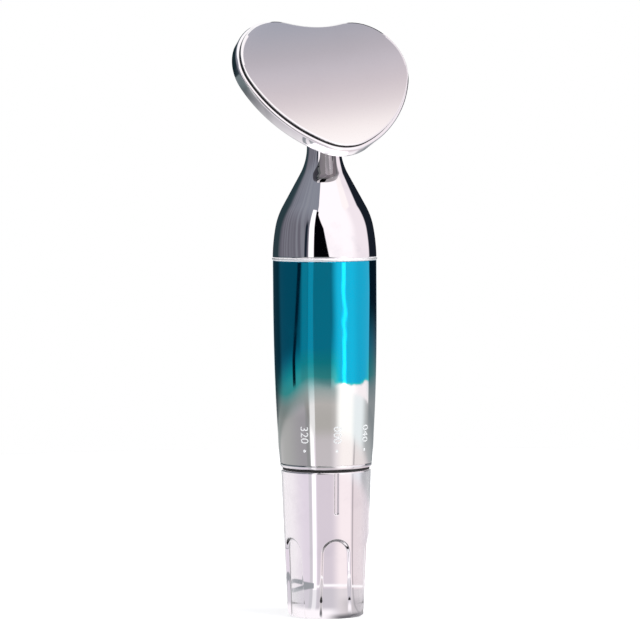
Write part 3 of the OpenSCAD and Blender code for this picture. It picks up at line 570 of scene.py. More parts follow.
def drawHeart(name, grow):
    # Half of the outline, grown outwards by an offset, then its mirror and one face
    shape = headShape
    lobe, aside, notch = shape["lobeRadius"], shape["lobeAside"], shape["notchRadius"]
    flank, tip, drop = shape["flankRadius"], shape["tipRadius"], shape["tipDrop"]
    notchUp = math.sqrt((lobe + notch) ** 2 - aside ** 2)
    span = math.hypot(aside, drop)
    along = ((flank - lobe) ** 2 - (flank - tip) ** 2 + span ** 2) / (2 * span)
    sideways = math.sqrt((flank - lobe) ** 2 - along ** 2)
    towards = (-aside / span, -drop / span)
    flankAcross = aside + towards[0] * along + towards[1] * sideways
    flankUp = towards[1] * along - towards[0] * sideways
    lobeFrom = math.degrees(math.atan2(notchUp, -aside))
    flankFrom = math.degrees(math.atan2(-flankUp, aside - flankAcross))
    flankTo = math.degrees(math.atan2(-drop - flankUp, -flankAcross))
    notchSteps, lobeSteps, flankSteps, tipSteps = shape["arcSteps"]
    piece = drawLine(name, (0, notchUp - notch + grow), [
        ("arc", 0, notchUp, lobeFrom - 90, notchSteps),
        ("arc", aside, 0, flankFrom - lobeFrom, lobeSteps),
        ("arc", flankAcross, flankUp, flankTo - flankFrom, flankSteps),
        ("arc", 0, -drop, -90 - flankTo, tipSteps)], flat=True)
    endEdit()
    mirror = piece.modifiers.new("mirror", "MIRROR")
    mirror.merge_threshold = 0.01 * mm
    bpy.ops.object.modifier_apply(modifier=mirror.name)
    beginEdit(piece)
    mergeAll(0.01)
    bpy.ops.mesh.edge_face_add()
    return piece


def sink(depth):
    bpy.ops.mesh.extrude_region_move(TRANSFORM_OT_translate={"value": (0, 0, -depth * mm)})


def edgeHeight(arc, degrees, bevel):
    # Height of an edge that turns inwards by an arc and goes on as a bevel
    turn = math.radians(degrees)
    return arc * math.sin(turn) + bevel / math.tan(turn)


def drawBlock(name, grow, top, depth):
    # A block in the heart's outline, from one depth under the face's plane down to another
    piece = drawHeart(name, grow)
    bpy.ops.transform.translate(value=(0, 0, -top * mm))
    sink(depth - top)
    closeSolid()
    return piece


def turnEdge(piece, arc, degrees, bevel, steps):
    pickFlat(piece, 1)
    roundIn(arc, steps, degrees)
    bpy.ops.mesh.inset(thickness=bevel * mm, depth=bevel / math.tan(math.radians(degrees)) * mm)


def seatInHead(piece):
    endEdit()
    piece.rotation_euler = (math.radians(90) - leanAngle, 0, 0)
    piece.location = (0, -headForward * mm, headHeight * mm)


def makeHeadShell():
    # The front rim turns from the wall into a bevel, which ends at the plate's pocket
    shape = headShape
    rim = (shape["rimRound"], shape["bevelTurn"], shape["bevelWidth"])
    wallTop = shape["rimDrop"] + edgeHeight(*rim)
    backSteps, rimSteps = shape["roundSteps"][:2]
    piece = drawBlock("headShell", shape["rimWidth"], wallTop, shape["thickness"] - shape["backRound"])
    pickFlat(piece, -1)
    roundIn(shape["backRound"], backSteps)
    turnEdge(piece, *rim, rimSteps)
    rimAcross = shape["rimRound"] * (1 - math.cos(math.radians(shape["bevelTurn"]))) + shape["bevelWidth"]
    lip = shape["rimWidth"] - shape["plateSpread"] - rimAcross
    bpy.ops.mesh.inset(thickness=lip * mm, depth=0)
    sink(shape["plateDepth"] + shape["plateSeat"] - shape["rimDrop"])
    closeSolid()
    seatInHead(piece)
    finishPiece(piece, "handle", "head_back_shell", "shellMirror")


def makeFacePlate():
    # The plate's face is crowned a little, as cast and buffed plates are
    shape = headShape
    edge = (shape["edgeRound"], shape["edgeTurn"], shape["edgeBevel"])
    piece = drawBlock("facePlate", shape["plateSpread"] - shape["plateGap"], edgeHeight(*edge), shape["plateDepth"])
    turnEdge(piece, *edge, shape["roundSteps"][-1])
    for i in range(shape["crownRings"]):
        bpy.ops.mesh.inset(thickness=shape["ringWidth"] * mm, depth=0)
    bpy.ops.mesh.delete(type="ONLY_FACE")
    bpy.ops.mesh.select_all(action="DESELECT")
    bpy.ops.mesh.select_non_manifold()
    bpy.ops.mesh.fill_grid(span=shape["crownSpans"], use_interp_simple=True)
    reach = (shape["lobeAside"] + shape["lobeRadius"]) * mm

    def raiseCrown(point):
        if point.z > -hair * mm:
            away = math.hypot(point.x, point.y + shape["crownDrop"] * mm) / reach
            point.z += shape["crown"] * mm * (1 - away ** 2)

    moveVertices(piece, raiseCrown)
    closeSolid()
    seatInHead(piece)
    finishPiece(piece, "handle", "head_face_plate", "faceMirror", sharpest=8)


makeHeadShell()
makeFacePlate()
print("head modelled")

# Neck: two shoulder arcs, a straight slope and a fillet into the stem, turned as one hollow bell
neckShape = {
    "footSlope": 1.2, "shoulders": [(47, 10.3), (18, 29)], "fillet": 14, "stemRadius": 4.3, "wall": 1.5,
    "edge": 0.15, "spigotRadius": 11.65, "spigotBore": 10.35, "outerSteps": 24, "innerSteps": 8, "edgeSteps": 5,
    "headGap": 0.02,
}


def neckShoulder(inwards, steps):
    # The shoulder's arcs from the foot up, at a distance inside the outline, with the point each starts from
    shape = neckShape
    pen, slope = (neckRadius, collarTop + shape["edge"]), math.radians(shape["footSlope"])
    moves, points = [], []
    for radius, degrees in shape["shoulders"]:
        turned = math.radians(degrees)
        centre = (pen[0] - radius * math.cos(slope), pen[1] - radius * math.sin(slope))
        reach = radius - inwards
        points.append((centre[0] + reach * math.cos(slope), centre[1] + reach * math.sin(slope)))
        moves.append(("arc", *centre, math.degrees(turned - slope), steps))
        pen = (centre[0] + radius * math.cos(turned), centre[1] + radius * math.sin(turned))
        slope = turned
    points.append((pen[0] - inwards * math.cos(slope), pen[1] - inwards * math.sin(slope)))
    return moves, points


def makeNeck():
    shape = neckShape
    slope = math.radians(shape["shoulders"][-1][1])
    fillet, wall, edge = shape["fillet"], shape["wall"], shape["edge"]
    outer, outerPoints = neckShoulder(0, shape["outerSteps"])
    inner, innerPoints = neckShoulder(wall, shape["innerSteps"])
    down = [("arc", across, up, -degrees, steps) for kind, across, up, degrees, steps in reversed(inner)]
    filletAcross = shape["stemRadius"] + fillet
    slopeEndRadius = shape["stemRadius"] + fillet * (1 - math.cos(slope))
    slopeEndUp = outerPoints[-1][1] + (outerPoints[-1][0] - slopeEndRadius) / math.tan(slope)
    stemUp = slopeEndUp + fillet * math.sin(slope)
    innerEnd = (filletAcross - (fillet + wall) * math.cos(slope), stemUp - (fillet + wall) * math.sin(slope))
    piece = drawLine("neckBell", (0, innerEnd[1]), [
        ("line", *innerEnd),
        ("line", *innerPoints[-1]),
        *down,
        ("line", shape["spigotBore"], collarTop + edge),
        ("line", shape["spigotBore"], neckLow),
        ("line", shape["spigotRadius"], neckLow),
        ("line", shape["spigotRadius"], collarTop),
        ("line", neckRadius - edge, collarTop),
        ("arc", neckRadius - edge, collarTop + edge, 90, shape["edgeSteps"]),
        *outer,
        ("line", slopeEndRadius, slopeEndUp),
        ("arc", filletAcross, stemUp, -math.degrees(slope), shape["outerSteps"]),
        ("line", shape["stemRadius"], headHeight),
        ("line", 0, headHeight)])
    turnRound()
    normal = (0, -math.cos(leanAngle), math.sin(leanAngle))
    behind = headShape["thickness"] + shape["headGap"]
    middle = metres(0, behind * math.cos(leanAngle) - headForward, headHeight - behind * math.sin(leanAngle))
    bpy.ops.mesh.select_all(action="SELECT")
    bpy.ops.mesh.bisect(plane_co=middle, plane_no=normal, clear_outer=True, use_fill=True)
    closeSolid()
    finishPiece(piece, "handle", "neck_shell", "neckMirror")


makeNeck()

# The two bright rings between the neck, the lacquered sleeve and the cap
ringShape = {
    "collarBore": 11.7, "collarRound": 0.35, "trimBore": 9.25, "trimSpread": 0.2, "trimDrop": 0.12,
    "trimRound": 0.6, "trimTopRound": 0.05, "lowSteps": 12, "topSteps": 8,
}


def makeRing(name, node, bore, radius, low, high, lowRound, topRound, finish):
    piece = drawLine(name, (bore, low), [
        ("line", radius - lowRound, low),
        ("arc", radius - lowRound, low + lowRound, 90, ringShape["lowSteps"]),
        ("line", radius, high - topRound),
        ("arc", radius - topRound, high - topRound, 90, ringShape["topSteps"]),
        ("line", bore, high),
        ("line", bore, low)])
    turnRound()
    finishPiece(piece, "handle", node, finish)


makeRing("collarRing", "collar_ring", ringShape["collarBore"], collarRadius, sleeveTop, collarTop,
         ringShape["collarRound"], ringShape["collarRound"], "satinPlate")
makeRing("trimRing", "lower_trim_ring", ringShape["trimBore"], trimRadius + ringShape["trimSpread"],
         trimLow - ringShape["trimDrop"], sleeveLow, ringShape["trimRound"], ringShape["trimTopRound"],
         "mirrorPlate")

# Seal: a round cord, pressed a little flat where it lies in its groove, with a thin lip that fills the seam
sealShape = {"cordRadius": 0.55, "flat": 0.12, "steps": 22, "lipLow": 0.05, "lipHigh": 0.37, "lipRadius": 11.0}


def makeSeal():
    shape = sealShape
    cord, centre = shape["cordRadius"], sealRadius - shape["cordRadius"]
    lowTurn, highTurn = math.asin(shape["lipLow"] / cord), math.asin(shape["lipHigh"] / cord)
    low, high = sealMiddle + shape["lipLow"], sealMiddle + shape["lipHigh"]
    piece = drawLine("sealRing", (centre + cord * math.cos(highTurn), high), [
        ("line", shape["lipRadius"], high),
        ("line", shape["lipRadius"], low),
        ("line", centre + cord * math.cos(lowTurn), low),
        ("arc", centre, sealMiddle, math.degrees(highTurn - lowTurn) - 360, shape["steps"])])
    mergeAll()
    inside = (centre - cord + shape["flat"]) * mm

    def pressFlat(point):
        point.x = max(point.x, inside)

    moveVertices(piece, pressFlat)
    turnRound()
    finishPiece(piece, "handle", "seal_ring", "sealRubber", sharpest=60)


makeSeal()

# Sleeve: a tube that narrows towards the cap, slowly at first, with a guard row beside each edge
sleeveShape = {
    "lowRadius": 11.62, "power": 3.0, "bore": 10.35, "socket": 11.7, "socketPlay": 0.05, "edge": 0.12,
    "edgeSteps": 4, "rows": 60, "guard": 0.06,
}


def sleeveRadius(up):
    share = (sleeveTop - up) / (sleeveTop - sleeveLow)
    return sleeveTopRadius - (sleeveTopRadius - sleeveShape["lowRadius"]) * share ** sleeveShape["power"]


def makeSleeve():
    shape = sleeveShape
    edge = shape["edge"]
    low, high = sleeveLow + edge, sleeveTop - edge
    rows = [low + (high - low) * i / shape["rows"] for i in range(shape["rows"] + 1)]
    rows[1:1] = [low + shape["guard"]]
    rows[-1:-1] = [high - shape["guard"]]
    socketLow = neckLow - shape["socketPlay"]
    wall = [("line", sleeveRadius(up), up) for up in rows]
    piece = drawLine("sleeveTube", (shape["bore"], sleeveLow), [
        ("line", sleeveRadius(low) - edge, sleeveLow),
        ("arc", sleeveRadius(low) - edge, low, 90, shape["edgeSteps"]),
        *wall[1:],
        ("arc", sleeveRadius(high) - edge, high, 90, shape["edgeSteps"]),
        ("line", shape["socket"], sleeveTop),
        ("line", shape["socket"], socketLow),
        ("line", shape["bore"], socketLow),
        ("line", shape["bore"], sleeveLow)])
    turnRound()
    finishPiece(piece, "handle", "sleeve", "fadeLacquer")


makeSleeve()
print("neck, rings and sleeve modelled")

# Twist cap: a turned cup whose wall is then pressed in for the finger recesses and the index groove.
# Its rows and columns are close together where an edge is pressed
capShape = {
    "rimSpread": 0.2, "footRadius": 9.98, "footRound": 1.1, "footSteps": 14, "footMiddle": 3,
    "rimRound": 0.4, "rimTurn": 40, "rimSteps": 4, "rimLand": 1.15, "rimGuard": 0.08,
    "floor": 2, "lowBore": 8.0, "shelf": 22, "bore": 9.5, "pocketRadius": 10.3, "pocketLow": 36.3,
    "recesses": 5, "recessWidth": 6.8, "recessFlare": 0.9, "recessTop": 19.9, "recessDepth": 0.8, "recessEdge": 0.75,
    "edgeInside": 0.35, "grooveWidth": 0.9, "grooveLength": 10.7, "grooveDepth": 0.42, "grooveEdge": 0.3,
    "rows": [(15.5, 14), (21, 46), (25.4, 6), (27.4, 18)], "rimRows": 12,
    "edgeColumns": (1.2, 0.5, 17), "sideColumns": 10, "middleColumns": (0.7, 16), "restColumns": 8,
    "offMark": -14.5, "slack": 0.02,
}
capRimRadius = capBoxRadius + capShape["rimSpread"]


def capRadius(up):
    return capShape["footRadius"] + (capRimRadius - capShape["footRadius"]) * up / capTop


def smoothStep(low, high, value):
    share = min(1, max(0, (value - low) / (high - low)))
    return share * share * (3 - 2 * share)


def slotDistance(across, up, width, roundUp, growsDown):
    # Distance to the edge of a slot with one round end: below zero inside it
    beyond = (up - roundUp) if growsDown else (roundUp - up)
    if beyond > 0:
        return math.hypot(across, beyond) - width / 2
    return abs(across) - width / 2


def pressCap(piece):
    shape = capShape
    recessRound = shape["recessTop"] - shape["recessWidth"] / 2
    grooveRound = capTop - shape["grooveLength"] + shape["grooveWidth"] / 2
    spacing = 360 / shape["recesses"]
    inner = -shape["edgeInside"] * shape["recessEdge"]
    outer = inner + shape["recessEdge"]
    grooveHalf = shape["grooveEdge"] / 2

    def pressIn(point):
        radius, up = math.hypot(point.x, point.y) / mm, point.z / mm
        outline = capRadius(up)
        onFoot = radius > outline - shape["footRound"] - shape["slack"] and up < shape["footRound"] + shape["slack"]
        if radius < outline - shape["slack"] and not onFoot:
            return
        azimuth = math.degrees(math.atan2(point.x, -point.y)) - shape["offMark"]
        nearest = math.radians((azimuth + spacing / 2) % spacing - spacing / 2)
        width = shape["recessWidth"] + shape["recessFlare"] * min(1, max(0, 1 - up / recessRound))
        away = slotDistance(outline * math.sin(nearest), up, width, recessRound, True)
        press = shape["recessDepth"] * (1 - smoothStep(inner, outer, away))
        turned = math.radians((azimuth + 180) % 360 - 180)
        if abs(turned) < 0.5:
            away = slotDistance(outline * math.sin(turned), up, shape["grooveWidth"], grooveRound, False)
            press = max(press, shape["grooveDepth"] * (1 - smoothStep(-grooveHalf, grooveHalf, away)))
        scale = min(radius, outline - press) / radius
        point.x *= scale
        point.y *= scale

    moveVertices(piece, pressIn)


def makeCap():
    shape = capShape
    footRound, rimRound = shape["footRound"], shape["rimRound"]
    rimStart = capTop - rimRound
    rimEdge = capRadius(rimStart) - rimRound
    rows, low = [], footRound
    for high, count in (*shape["rows"], (rimStart, shape["rimRows"])):
        rows += [low + (high - low) * i / count for i in range(1, count + 1)]
        low = high
    rows[-1:] = [rimStart - shape["rimGuard"], rimStart]
    piece = drawLine("twistCap", (0, 0), [
        ("line", shape["footMiddle"], 0),
        ("line", shape["footRadius"] - footRound, 0),
        ("arc", shape["footRadius"] - footRound, footRound, 90, shape["footSteps"]),
        *[("line", capRadius(up), up) for up in rows],
        ("arc", rimEdge, rimStart, shape["rimTurn"], shape["rimSteps"]),
        ("line", capRadius(rimStart) - rimRound * shape["rimLand"], capTop),
        ("line", shape["pocketRadius"], capTop),
        ("line", shape["pocketRadius"], shape["pocketLow"]),
        ("line", shape["bore"], shape["pocketLow"]),
        ("line", shape["bore"], shape["shelf"]),
        ("line", shape["lowBore"], shape["shelf"]),
        ("line", shape["lowBore"], shape["floor"]),
        ("line", 0, shape["floor"])])
    middle, half = capRadius(shape["recessTop"] / 2), shape["recessWidth"] / 2
    outside, inside, edgeSteps = shape["edgeColumns"]
    core, coreSteps = shape["middleColumns"]
    stretches = [(outside + inside, edgeSteps), (half - inside - core, shape["sideColumns"]), (2 * core, coreSteps),
                 (half - inside - core, shape["sideColumns"]), (outside + inside, edgeSteps)]
    turns = [(width / middle, steps) for width, steps in stretches]
    turns.append((math.tau / shape["recesses"] - sum(turn for turn, steps in turns), shape["restColumns"]))
    bpy.ops.mesh.select_all(action="SELECT")
    for turn, steps in turns * shape["recesses"]:
        bpy.ops.mesh.spin(steps=steps, angle=turn, center=(0, 0, 0), axis=(0, 0, -1))
    closeSolid()
    endEdit()
    # The drawn profile stood at +X, which is azimuth 90
    first = math.radians(shape["offMark"]) - (half + outside) / middle
    piece.rotation_euler = (0, 0, first - math.radians(90))
    pickPiece(piece)
    applyPlace()
    beginEdit(piece)
    pressCap(piece)
    closeSolid()
    finishPiece(piece, "cap", "twist_cap", "capMirror", sharpest=60)


makeCap()
print("cap modelled")

# Plain numbers at the three switch positions, printed on the sleeve, each over a round dot
markShape = {
    "numbers": ["320", "000", "040"], "middle": -14.5, "step": 40, "size": 2.968, "top": 48.9,
    "dotUp": 42.6, "dotRadius": 0.36, "dotSides": 32, "cuts": 2, "half": 0.015, "proud": 0.01,
}


def wrapOnSleeve(piece, azimuth, top, proud):
    # Bends a flat print onto the sleeve: its X runs down the sleeve, its Y round it and its Z outwards
    for vertex in piece.data.vertices:
        up = top - vertex.co.x / mm
        radius = sleeveRadius(up)
        turn = math.radians(azimuth) + vertex.co.y / mm / radius
        out = (radius + proud) * mm + vertex.co.z
        vertex.co = (out * math.sin(turn), -out * math.cos(turn), up * mm)
    piece.data.update()


def makeMark(name, number, azimuth):
    shape = markShape
    bpy.ops.object.select_all(action="DESELECT")
    bpy.ops.object.text_add(location=(0, 0, 0))
    text = bpy.context.object
    text.data.body = number
    text.data.size = shape["size"] * mm
    text.data.align_y = "CENTER"
    text.data.extrude = shape["half"] * mm
    bpy.ops.object.convert(target="MESH")
    text = bpy.context.object
    bpy.ops.mesh.primitive_cylinder_add(
        vertices=shape["dotSides"], radius=shape["dotRadius"] * mm, depth=2 * shape["half"] * mm,
        location=metres(shape["top"] - shape["dotUp"], 0, 0))
    dot = bpy.context.object
    applyPlace()
    pickPiece(text)
    dot.select_set(True)
    bpy.ops.object.join()
    namePiece(text, name)
    beginEdit(text)
    mergeAll()
    bpy.ops.mesh.quads_convert_to_tris()
    bpy.ops.mesh.subdivide(number_cuts=shape["cuts"])
    bpy.ops.mesh.normals_make_consistent(inside=False)
    endEdit()
    wrapOnSleeve(text, azimuth, shape["top"], shape["proud"])
    finishPiece(text, "handle", None, "printInk")


for i, number in enumerate(markShape["numbers"]):
    makeMark("switchMark" + number, number, markShape["middle"] + markShape["step"] * (i - 1))
print("marks printed")


# Studio: a round white table in a white room. Polished metal mirrors what stands round the object there:
# a grey side, a pale screen, a strip light, dark gaps between them and a white ceiling
studio = {"front": -28, "tableRadius": 0.43, "tableWhite": 0.9, "tableGlow": 0.25}


def bearingFrom(tree, across, along):
    # Bearing round the handle's axis, in degrees to the right of the studio's front
    bearing = calc(tree, "DEGREES", calc(tree, "ARCTAN2", across, calc(tree, "MULTIPLY", along, -1.0)))
    return calc(tree, "WRAP", calc(tree, "SUBTRACT", bearing, studio["front"]), 180.0, -180.0)


def sideMasks(tree, side):
    # Two makers of masks by bearing: from one bearing to another, and in a strip
    def bySide(start, full):
        return mapSpan(tree, side, start, full)

    def strip(centre, half, soft):
        return softBand(tree, side, centre, half, soft)

    return bySide, strip


def mixShader(tree, share, under, over):
    return addNode(tree, "MixShader", {"Fac": share, 1: under.outputs[0], 2: over.outputs[0]})


def makeRoom():
    # What a mirror sees of the room, by bearing and by height above the horizon, both in degrees
    group, given, wanted = newGroup("room", {"Side": 0.0, "Rise": 0.0}, ["Colour"], "NodeSocketColor")
    side, rise = given["Side"], given["Rise"]
    bySide, strip = sideMasks(group, side)

    def byRise(start, full, toLow=0.0, toHigh=1.0, kind="SMOOTHSTEP"):
        return mapSpan(group, rise, start, full, toLow, toHigh, kind)

    def minus(value, other):
        return calc(group, "SUBTRACT", value, other)

    def tone(share, under, over):
        return mixColour(group, share, under, over)

    def wavy(place, scale):
        return addNode(group, "TexNoise", {
            "W": place, "Scale": scale, "Detail": 1.0}, noise_dimensions="1D").outputs["Fac"]

    low = byRise(-0.5, -0.9)
    panels = wavy(calc(group, "MULTIPLY_ADD", rise, 0.35, side), 0.075)
    # The screen has a soft left edge near the table and a sharp one above
    past = calc(group, "DIVIDE", minus(side, byRise(-0.9, -0.5, 20.0, -20.0)), byRise(-0.9, -0.5, 22.0, 1.0))
    screen = times(group, mapSpan(group, past, -0.6, 0.6), bySide(118, 114))
    # The screen's upper part, which the head's face mirrors, greys towards the top and the back
    slant = mapSpan(group, calc(group, "MULTIPLY_ADD", side, 0.267, rise), 68.2, 75.2, kind="LINEAR")
    greying = colourRamp(group, slant, [
        (0.0, (1.12, 1.06, 1.05)), (0.12, (1.04, 0.96, 0.95)), (0.29, (0.80, 0.72, 0.74)),
        (0.43, (0.68, 0.61, 0.645)), (0.59, (0.60, 0.555, 0.605)), (0.72, (0.51, 0.475, 0.52)),
        (1.0, (0.39, 0.40, 0.465))])
    face = times(group, strip(77.5, 12, 3), byRise(40, 43), byRise(56, 55))
    pale = tone(face, tone(bySide(60, 84), (1.16, 1.11, 1.13), (0.98, 0.91, 0.95)), greying)
    # The dark gap in front is closed above and only dim near the table
    beyondGap = minus(side, byRise(-2.0, 41.0, 12.5, -17.0, "LINEAR"))
    gap = times(group, bySide(-24.5, -23), mapSpan(group, beyondGap, 1, -1), byRise(46.5, 45.5))
    # A dark slit beside the strip light leans
    lean = calc(group, "ADD", byRise(-6.0, -1.6, -18.0, 0.0, "LINEAR"), byRise(-0.9, -0.5, -55.0, -42.5, "LINEAR"))
    fromSlit = minus(calc(group, "ABSOLUTE", minus(side, lean)), mixFloat(group, low, 3.0, 4.6))
    rippled = calc(group, "MULTIPLY_ADD", wavy(rise, 0.9), 26.0, 30.0)
    colour = layTones(group, tone(byRise(15, 54), (0.150, 0.148, 0.180), (0.25, 0.27, 0.32)), {
        "panels": (mapSpan(group, panels, 0.42, 0.62, 0.0, 0.55), (0.30, 0.32, 0.36)),
        "lowGrey": (low, tone(byRise(-4.8, -7.6), (0.110, 0.140, 0.165), (0.48, 0.52, 0.52))),
        "lowBand": (times(group, strip(-44, 9, 5), low), (0.40, 0.42, 0.43)),
        "screen": (screen, pale),
        "gap": (gap, tone(low, (0.001, 0.001, 0.002), (0.31, 0.33, 0.34))),
        "stripLight": (times(group, strip(-30, 6, 0.8), byRise(49, 47.5)),
                       tone(low, (1.25, 1.22, 1.24), (0.56, 0.56, 0.58))),
        "slit": (times(group, mapSpan(group, fromSlit, 0.8, -0.8), byRise(34, 20)), (0.010, 0.018, 0.030)),
        "lowStrip": (times(group, softBand(group, side, rippled, 4.4, 1.0), low), (2.3, 2.3, 2.35)),
        # Dark flags on both sides behind the object give the outline its edge
        "leftFlag": (times(group, bySide(-112, -128), byRise(-7.6, -4.8)),
                     tone(byRise(20, 50), (0.025, 0.048, 0.058), (0.13, 0.17, 0.195))),
        "rightFlag": (bySide(116, 119), tone(byRise(-5.2, -3.2), (0.26, 0.28, 0.30), (0.010, 0.014, 0.022))),
        "behind": (mapSpan(group, calc(group, "ABSOLUTE", side), 165, 167), (1.0, 1.0, 1.0)),
        "ceiling": (byRise(58, 62), (1.1, 1.09, 1.1))})
    feed(group, wanted, {"Colour": colour})
    return group


def makeTable():
    # Matt white for light. Mirrors see its sheen, which is painted light: the room's streaks painted on as a glow,
    # with a painted shadow of the object's own foot
    bpy.ops.object.select_all(action="DESELECT")
    bpy.ops.mesh.primitive_circle_add(vertices=128, radius=studio["tableRadius"], fill_type="NGON",
                                      location=(0, 0, 0))
    table = bpy.context.object
    table.name = "tableTop"
    material = bpy.data.materials.new("tableWhite")
    tree = emptyTree(material)
    place = addNode(tree, "TexCoord").outputs["Object"]
    parts = splitAxes(tree, place)
    away = addNode(tree, "VectorMath", {0: place}, operation="LENGTH").outputs["Value"]
    side = bearingFrom(tree, parts["X"], parts["Y"])
    bySide, strip = sideMasks(tree, side)
    path = addNode(tree, "LightPath").outputs

    def byAway(start, full, most=1.0):
        return mapSpan(tree, away, start, full, 0.0, most)

    behind = mapSpan(tree, calc(tree, "ABSOLUTE", side), 160, 166)
    near = layTones(tree, (0.95, 0.92, 0.94), {
        "left": (bySide(-110, -49), (0.80, 0.74, 0.82)),
        "slit": (strip(-41, 4, 2), (0.66, 0.64, 0.68)),
        "front": (bySide(-25, -23), (0.72, 0.66, 0.72)),
        "screen": (bySide(10, 42), (1.02, 0.93, 0.94)),
        "right": (bySide(64, 70), (0.84, 0.76, 0.78)),
        "farRight": (bySide(96, 136), (0.68, 0.61, 0.66)),
        "rightEdge": (bySide(144, 156), (1.08, 1.04, 1.06)),
        "leftEdge": (bySide(-138, -152), (0.66, 0.65, 0.67)),
        "line": (strip(72, 2.2, 1), (0.50, 0.45, 0.47)),
        "behind": (behind, (0.24, 0.25, 0.27)),
        "stripLight": (strip(-31.5, 5, 0.8), (1.2, 1.18, 1.2))})
    far = layTones(tree, (0.60, 0.63, 0.63), {
        "left": (bySide(-150, -100), (0.56, 0.58, 0.58)),
        "front": (bySide(-90, -50), (0.56, 0.53, 0.53)),
        "screen": (bySide(18, 34), (1.10, 1.08, 1.08)),
        "right": (bySide(56, 74), (0.86, 0.90, 0.94)),
        "farRight": (bySide(88, 112), (0.44, 0.45, 0.47)),
        "stripLight": (strip(-30, 6.5, 0.8), (0.82, 0.82, 0.83)),
        "behind": (behind, (0.24, 0.25, 0.27))})
    # The sheen turns from near to far tones with the length of the mirrored ray, in metres
    leftward = strip(-100, 62, 12)
    turnAt = calc(tree, "MULTIPLY_ADD", leftward, 0.11, 0.195)
    distant = mapSpan(tree, path["Ray Length"], turnAt, calc(tree, "ADD", turnAt, 0.05))
    apart = mapSpan(tree, side, -110.0, -35.0, 0.007, 0.0, "LINEAR")

    def footLine(shift):
        ringAt = calc(tree, "MULTIPLY_ADD", apart, shift, 0.050)
        return times(tree, softBand(tree, away, ringAt, 0.0032, 0.0012), strip(-100, 66, 2)), (0.34, 0.36, 0.38)

    # Only the recesses' upper edges look down at the table from this far, and the dark ring painted there gives them
    # painted dark reflections
    fromAbove = mapSpan(tree, path["Ray Length"], 0.0183, 0.0190)
    paintedSheen = layTones(tree, mixColour(tree, distant, near, far), {
        "leftFar": (times(tree, byAway(0.27, 0.43), leftward), (0.48, 0.52, 0.52)),
        "rightFar": (times(tree, byAway(0.20, 0.40), bySide(108, 122)), (0.24, 0.26, 0.28)),
        # Two fine grey lines round the foot meet in front
        "innerLine": footLine(-1.0),
        "outerLine": footLine(1.0),
        "frontLine": (times(tree, softBand(tree, away, 0.049, 0.0016, 0.0014), strip(50, 80, 6)), (1.1, 1.1, 1.1)),
        "footRing": (byAway(0.046, 0.044, 0.45), (0.56, 0.58, 0.60)),
        "footGlow": (times(tree, byAway(0.024, 0.017), bySide(40, 0)), (1.08, 1.05, 1.07)),
        "footDusk": (times(tree, byAway(0.038, 0.026, 0.35), bySide(20, 60)), (0.30, 0.30, 0.31)),
        "footShadow": (times(tree, byAway(0.0165, 0.0105), bySide(-10, 30)), (0.16, 0.16, 0.17)),
        "ledge": (times(tree, softBand(tree, away, 0.0210, 0.0045, 0.0015), fromAbove), (0.015, 0.015, 0.015))})
    matt = addNode(tree, "BsdfDiffuse", {"Color": (studio["tableWhite"],) * 3})
    glow = addNode(tree, "Emission", {
        "Strength": calc(tree, "MULTIPLY", path["Is Camera Ray"], studio["tableGlow"])})
    lit = addNode(tree, "AddShader", {0: matt.outputs[0], 1: glow.outputs[0]})
    mirrored = addNode(tree, "Emission", {"Color": paintedSheen, "Strength": 1.0})
    both = mixShader(tree, path["Is Glossy Ray"], lit, mirrored)
    addNode(tree, "OutputMaterial", {"Surface": both.outputs[0]})
    table.data.materials.append(material)


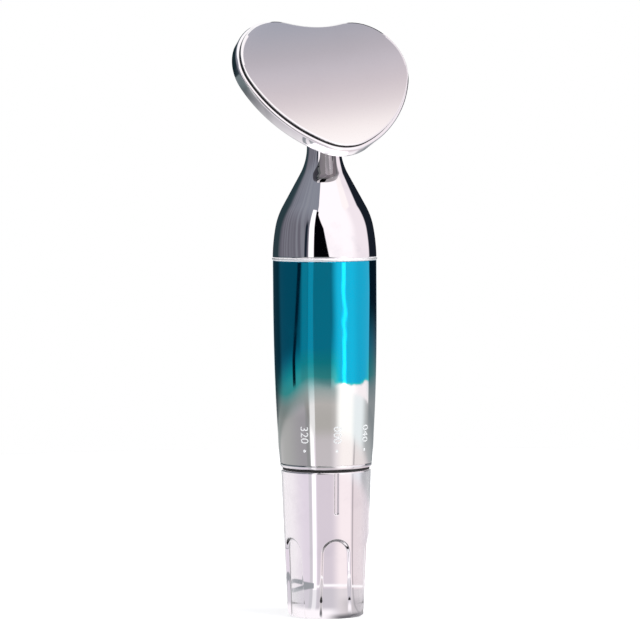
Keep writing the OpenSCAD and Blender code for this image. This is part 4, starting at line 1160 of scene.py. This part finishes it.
def makeWorld():
    # White for the camera, soft for matt surfaces and the room's fields for mirrors
    world = bpy.data.worlds.new("studio")
    bpy.context.scene.world = world
    tree = emptyTree(world)
    parts = splitAxes(tree, addNode(tree, "TexCoord").outputs["Generated"])
    side = bearingFrom(tree, parts["X"], parts["Y"])
    rise = calc(tree, "DEGREES", calc(tree, "ARCSINE", parts["Z"]))
    fields = placeGroup(tree, makeRoom(), {"Side": side, "Rise": rise})["Colour"]
    path = addNode(tree, "LightPath").outputs

    def background(colour, strength):
        return addNode(tree, "Background", {"Color": colour, "Strength": strength})

    unseen = mixShader(tree, path["Is Glossy Ray"], background((0.97, 0.98, 1.0), 0.62), background(fields, 1.0))
    both = mixShader(tree, path["Is Camera Ray"], unseen, background((1, 1, 1), 1.0))
    addNode(tree, "OutputWorld", {"Surface": both.outputs[0]})


# Softboxes light matt surfaces. Metal mirrors the studio's fields and not the lamps
lampShape = {"distance": 1.2, "size": 0.9}
lamps = {
    "keyLamp": {"azimuth": 40, "elevation": 50, "power": 7},
    "fillLamp": {"azimuth": -80, "elevation": 35, "power": 3},
    "backLamp": {"azimuth": 170, "elevation": 45, "power": 3},
}


def makeLamp(name, azimuth, elevation, power):
    turn, rise = math.radians(azimuth), math.radians(elevation)
    towards = (math.sin(turn) * math.cos(rise), -math.cos(turn) * math.cos(rise), math.sin(rise))
    bpy.ops.object.light_add(type="AREA", location=[lampShape["distance"] * part for part in towards])
    lamp = bpy.context.object
    lamp.name = name
    lamp.data.shape = "DISK"
    lamp.data.size = lampShape["size"]
    lamp.data.energy = power
    lamp.rotation_euler = (math.radians(90) - rise, 0, turn)
    lamp.visible_glossy = False
    lamp.visible_camera = False


cameraSettings = {"azimuth": -28, "distance": 0.8, "height": 0.1203, "aim": (-0.00143, -0.00069, 0.0749),
                  "lens": 178.2, "roll": 0.41}


def makeCamera():
    values = cameraSettings
    turn = math.radians(values["azimuth"])
    place = (math.sin(turn) * values["distance"], -math.cos(turn) * values["distance"], values["height"])
    bpy.ops.object.camera_add(location=place)
    camera = bpy.context.object
    ahead = [aim - own for aim, own in zip(values["aim"], place)]
    flat = math.hypot(ahead[0], ahead[1])
    tilt = math.atan2(flat, -ahead[2])
    heading = math.atan2(-ahead[0], ahead[1])
    camera.rotation_euler = (tilt, math.radians(values["roll"]), heading)
    camera.data.lens = values["lens"]
    camera.data.sensor_width = 36
    camera.data.clip_start = 0.05
    camera.data.clip_end = 20
    bpy.context.scene.camera = camera


makeTable()
makeWorld()
for name, values in lamps.items():
    makeLamp(name, **values)
makeCamera()
bpy.context.scene.view_settings.view_transform = "Standard"
print("studio set")
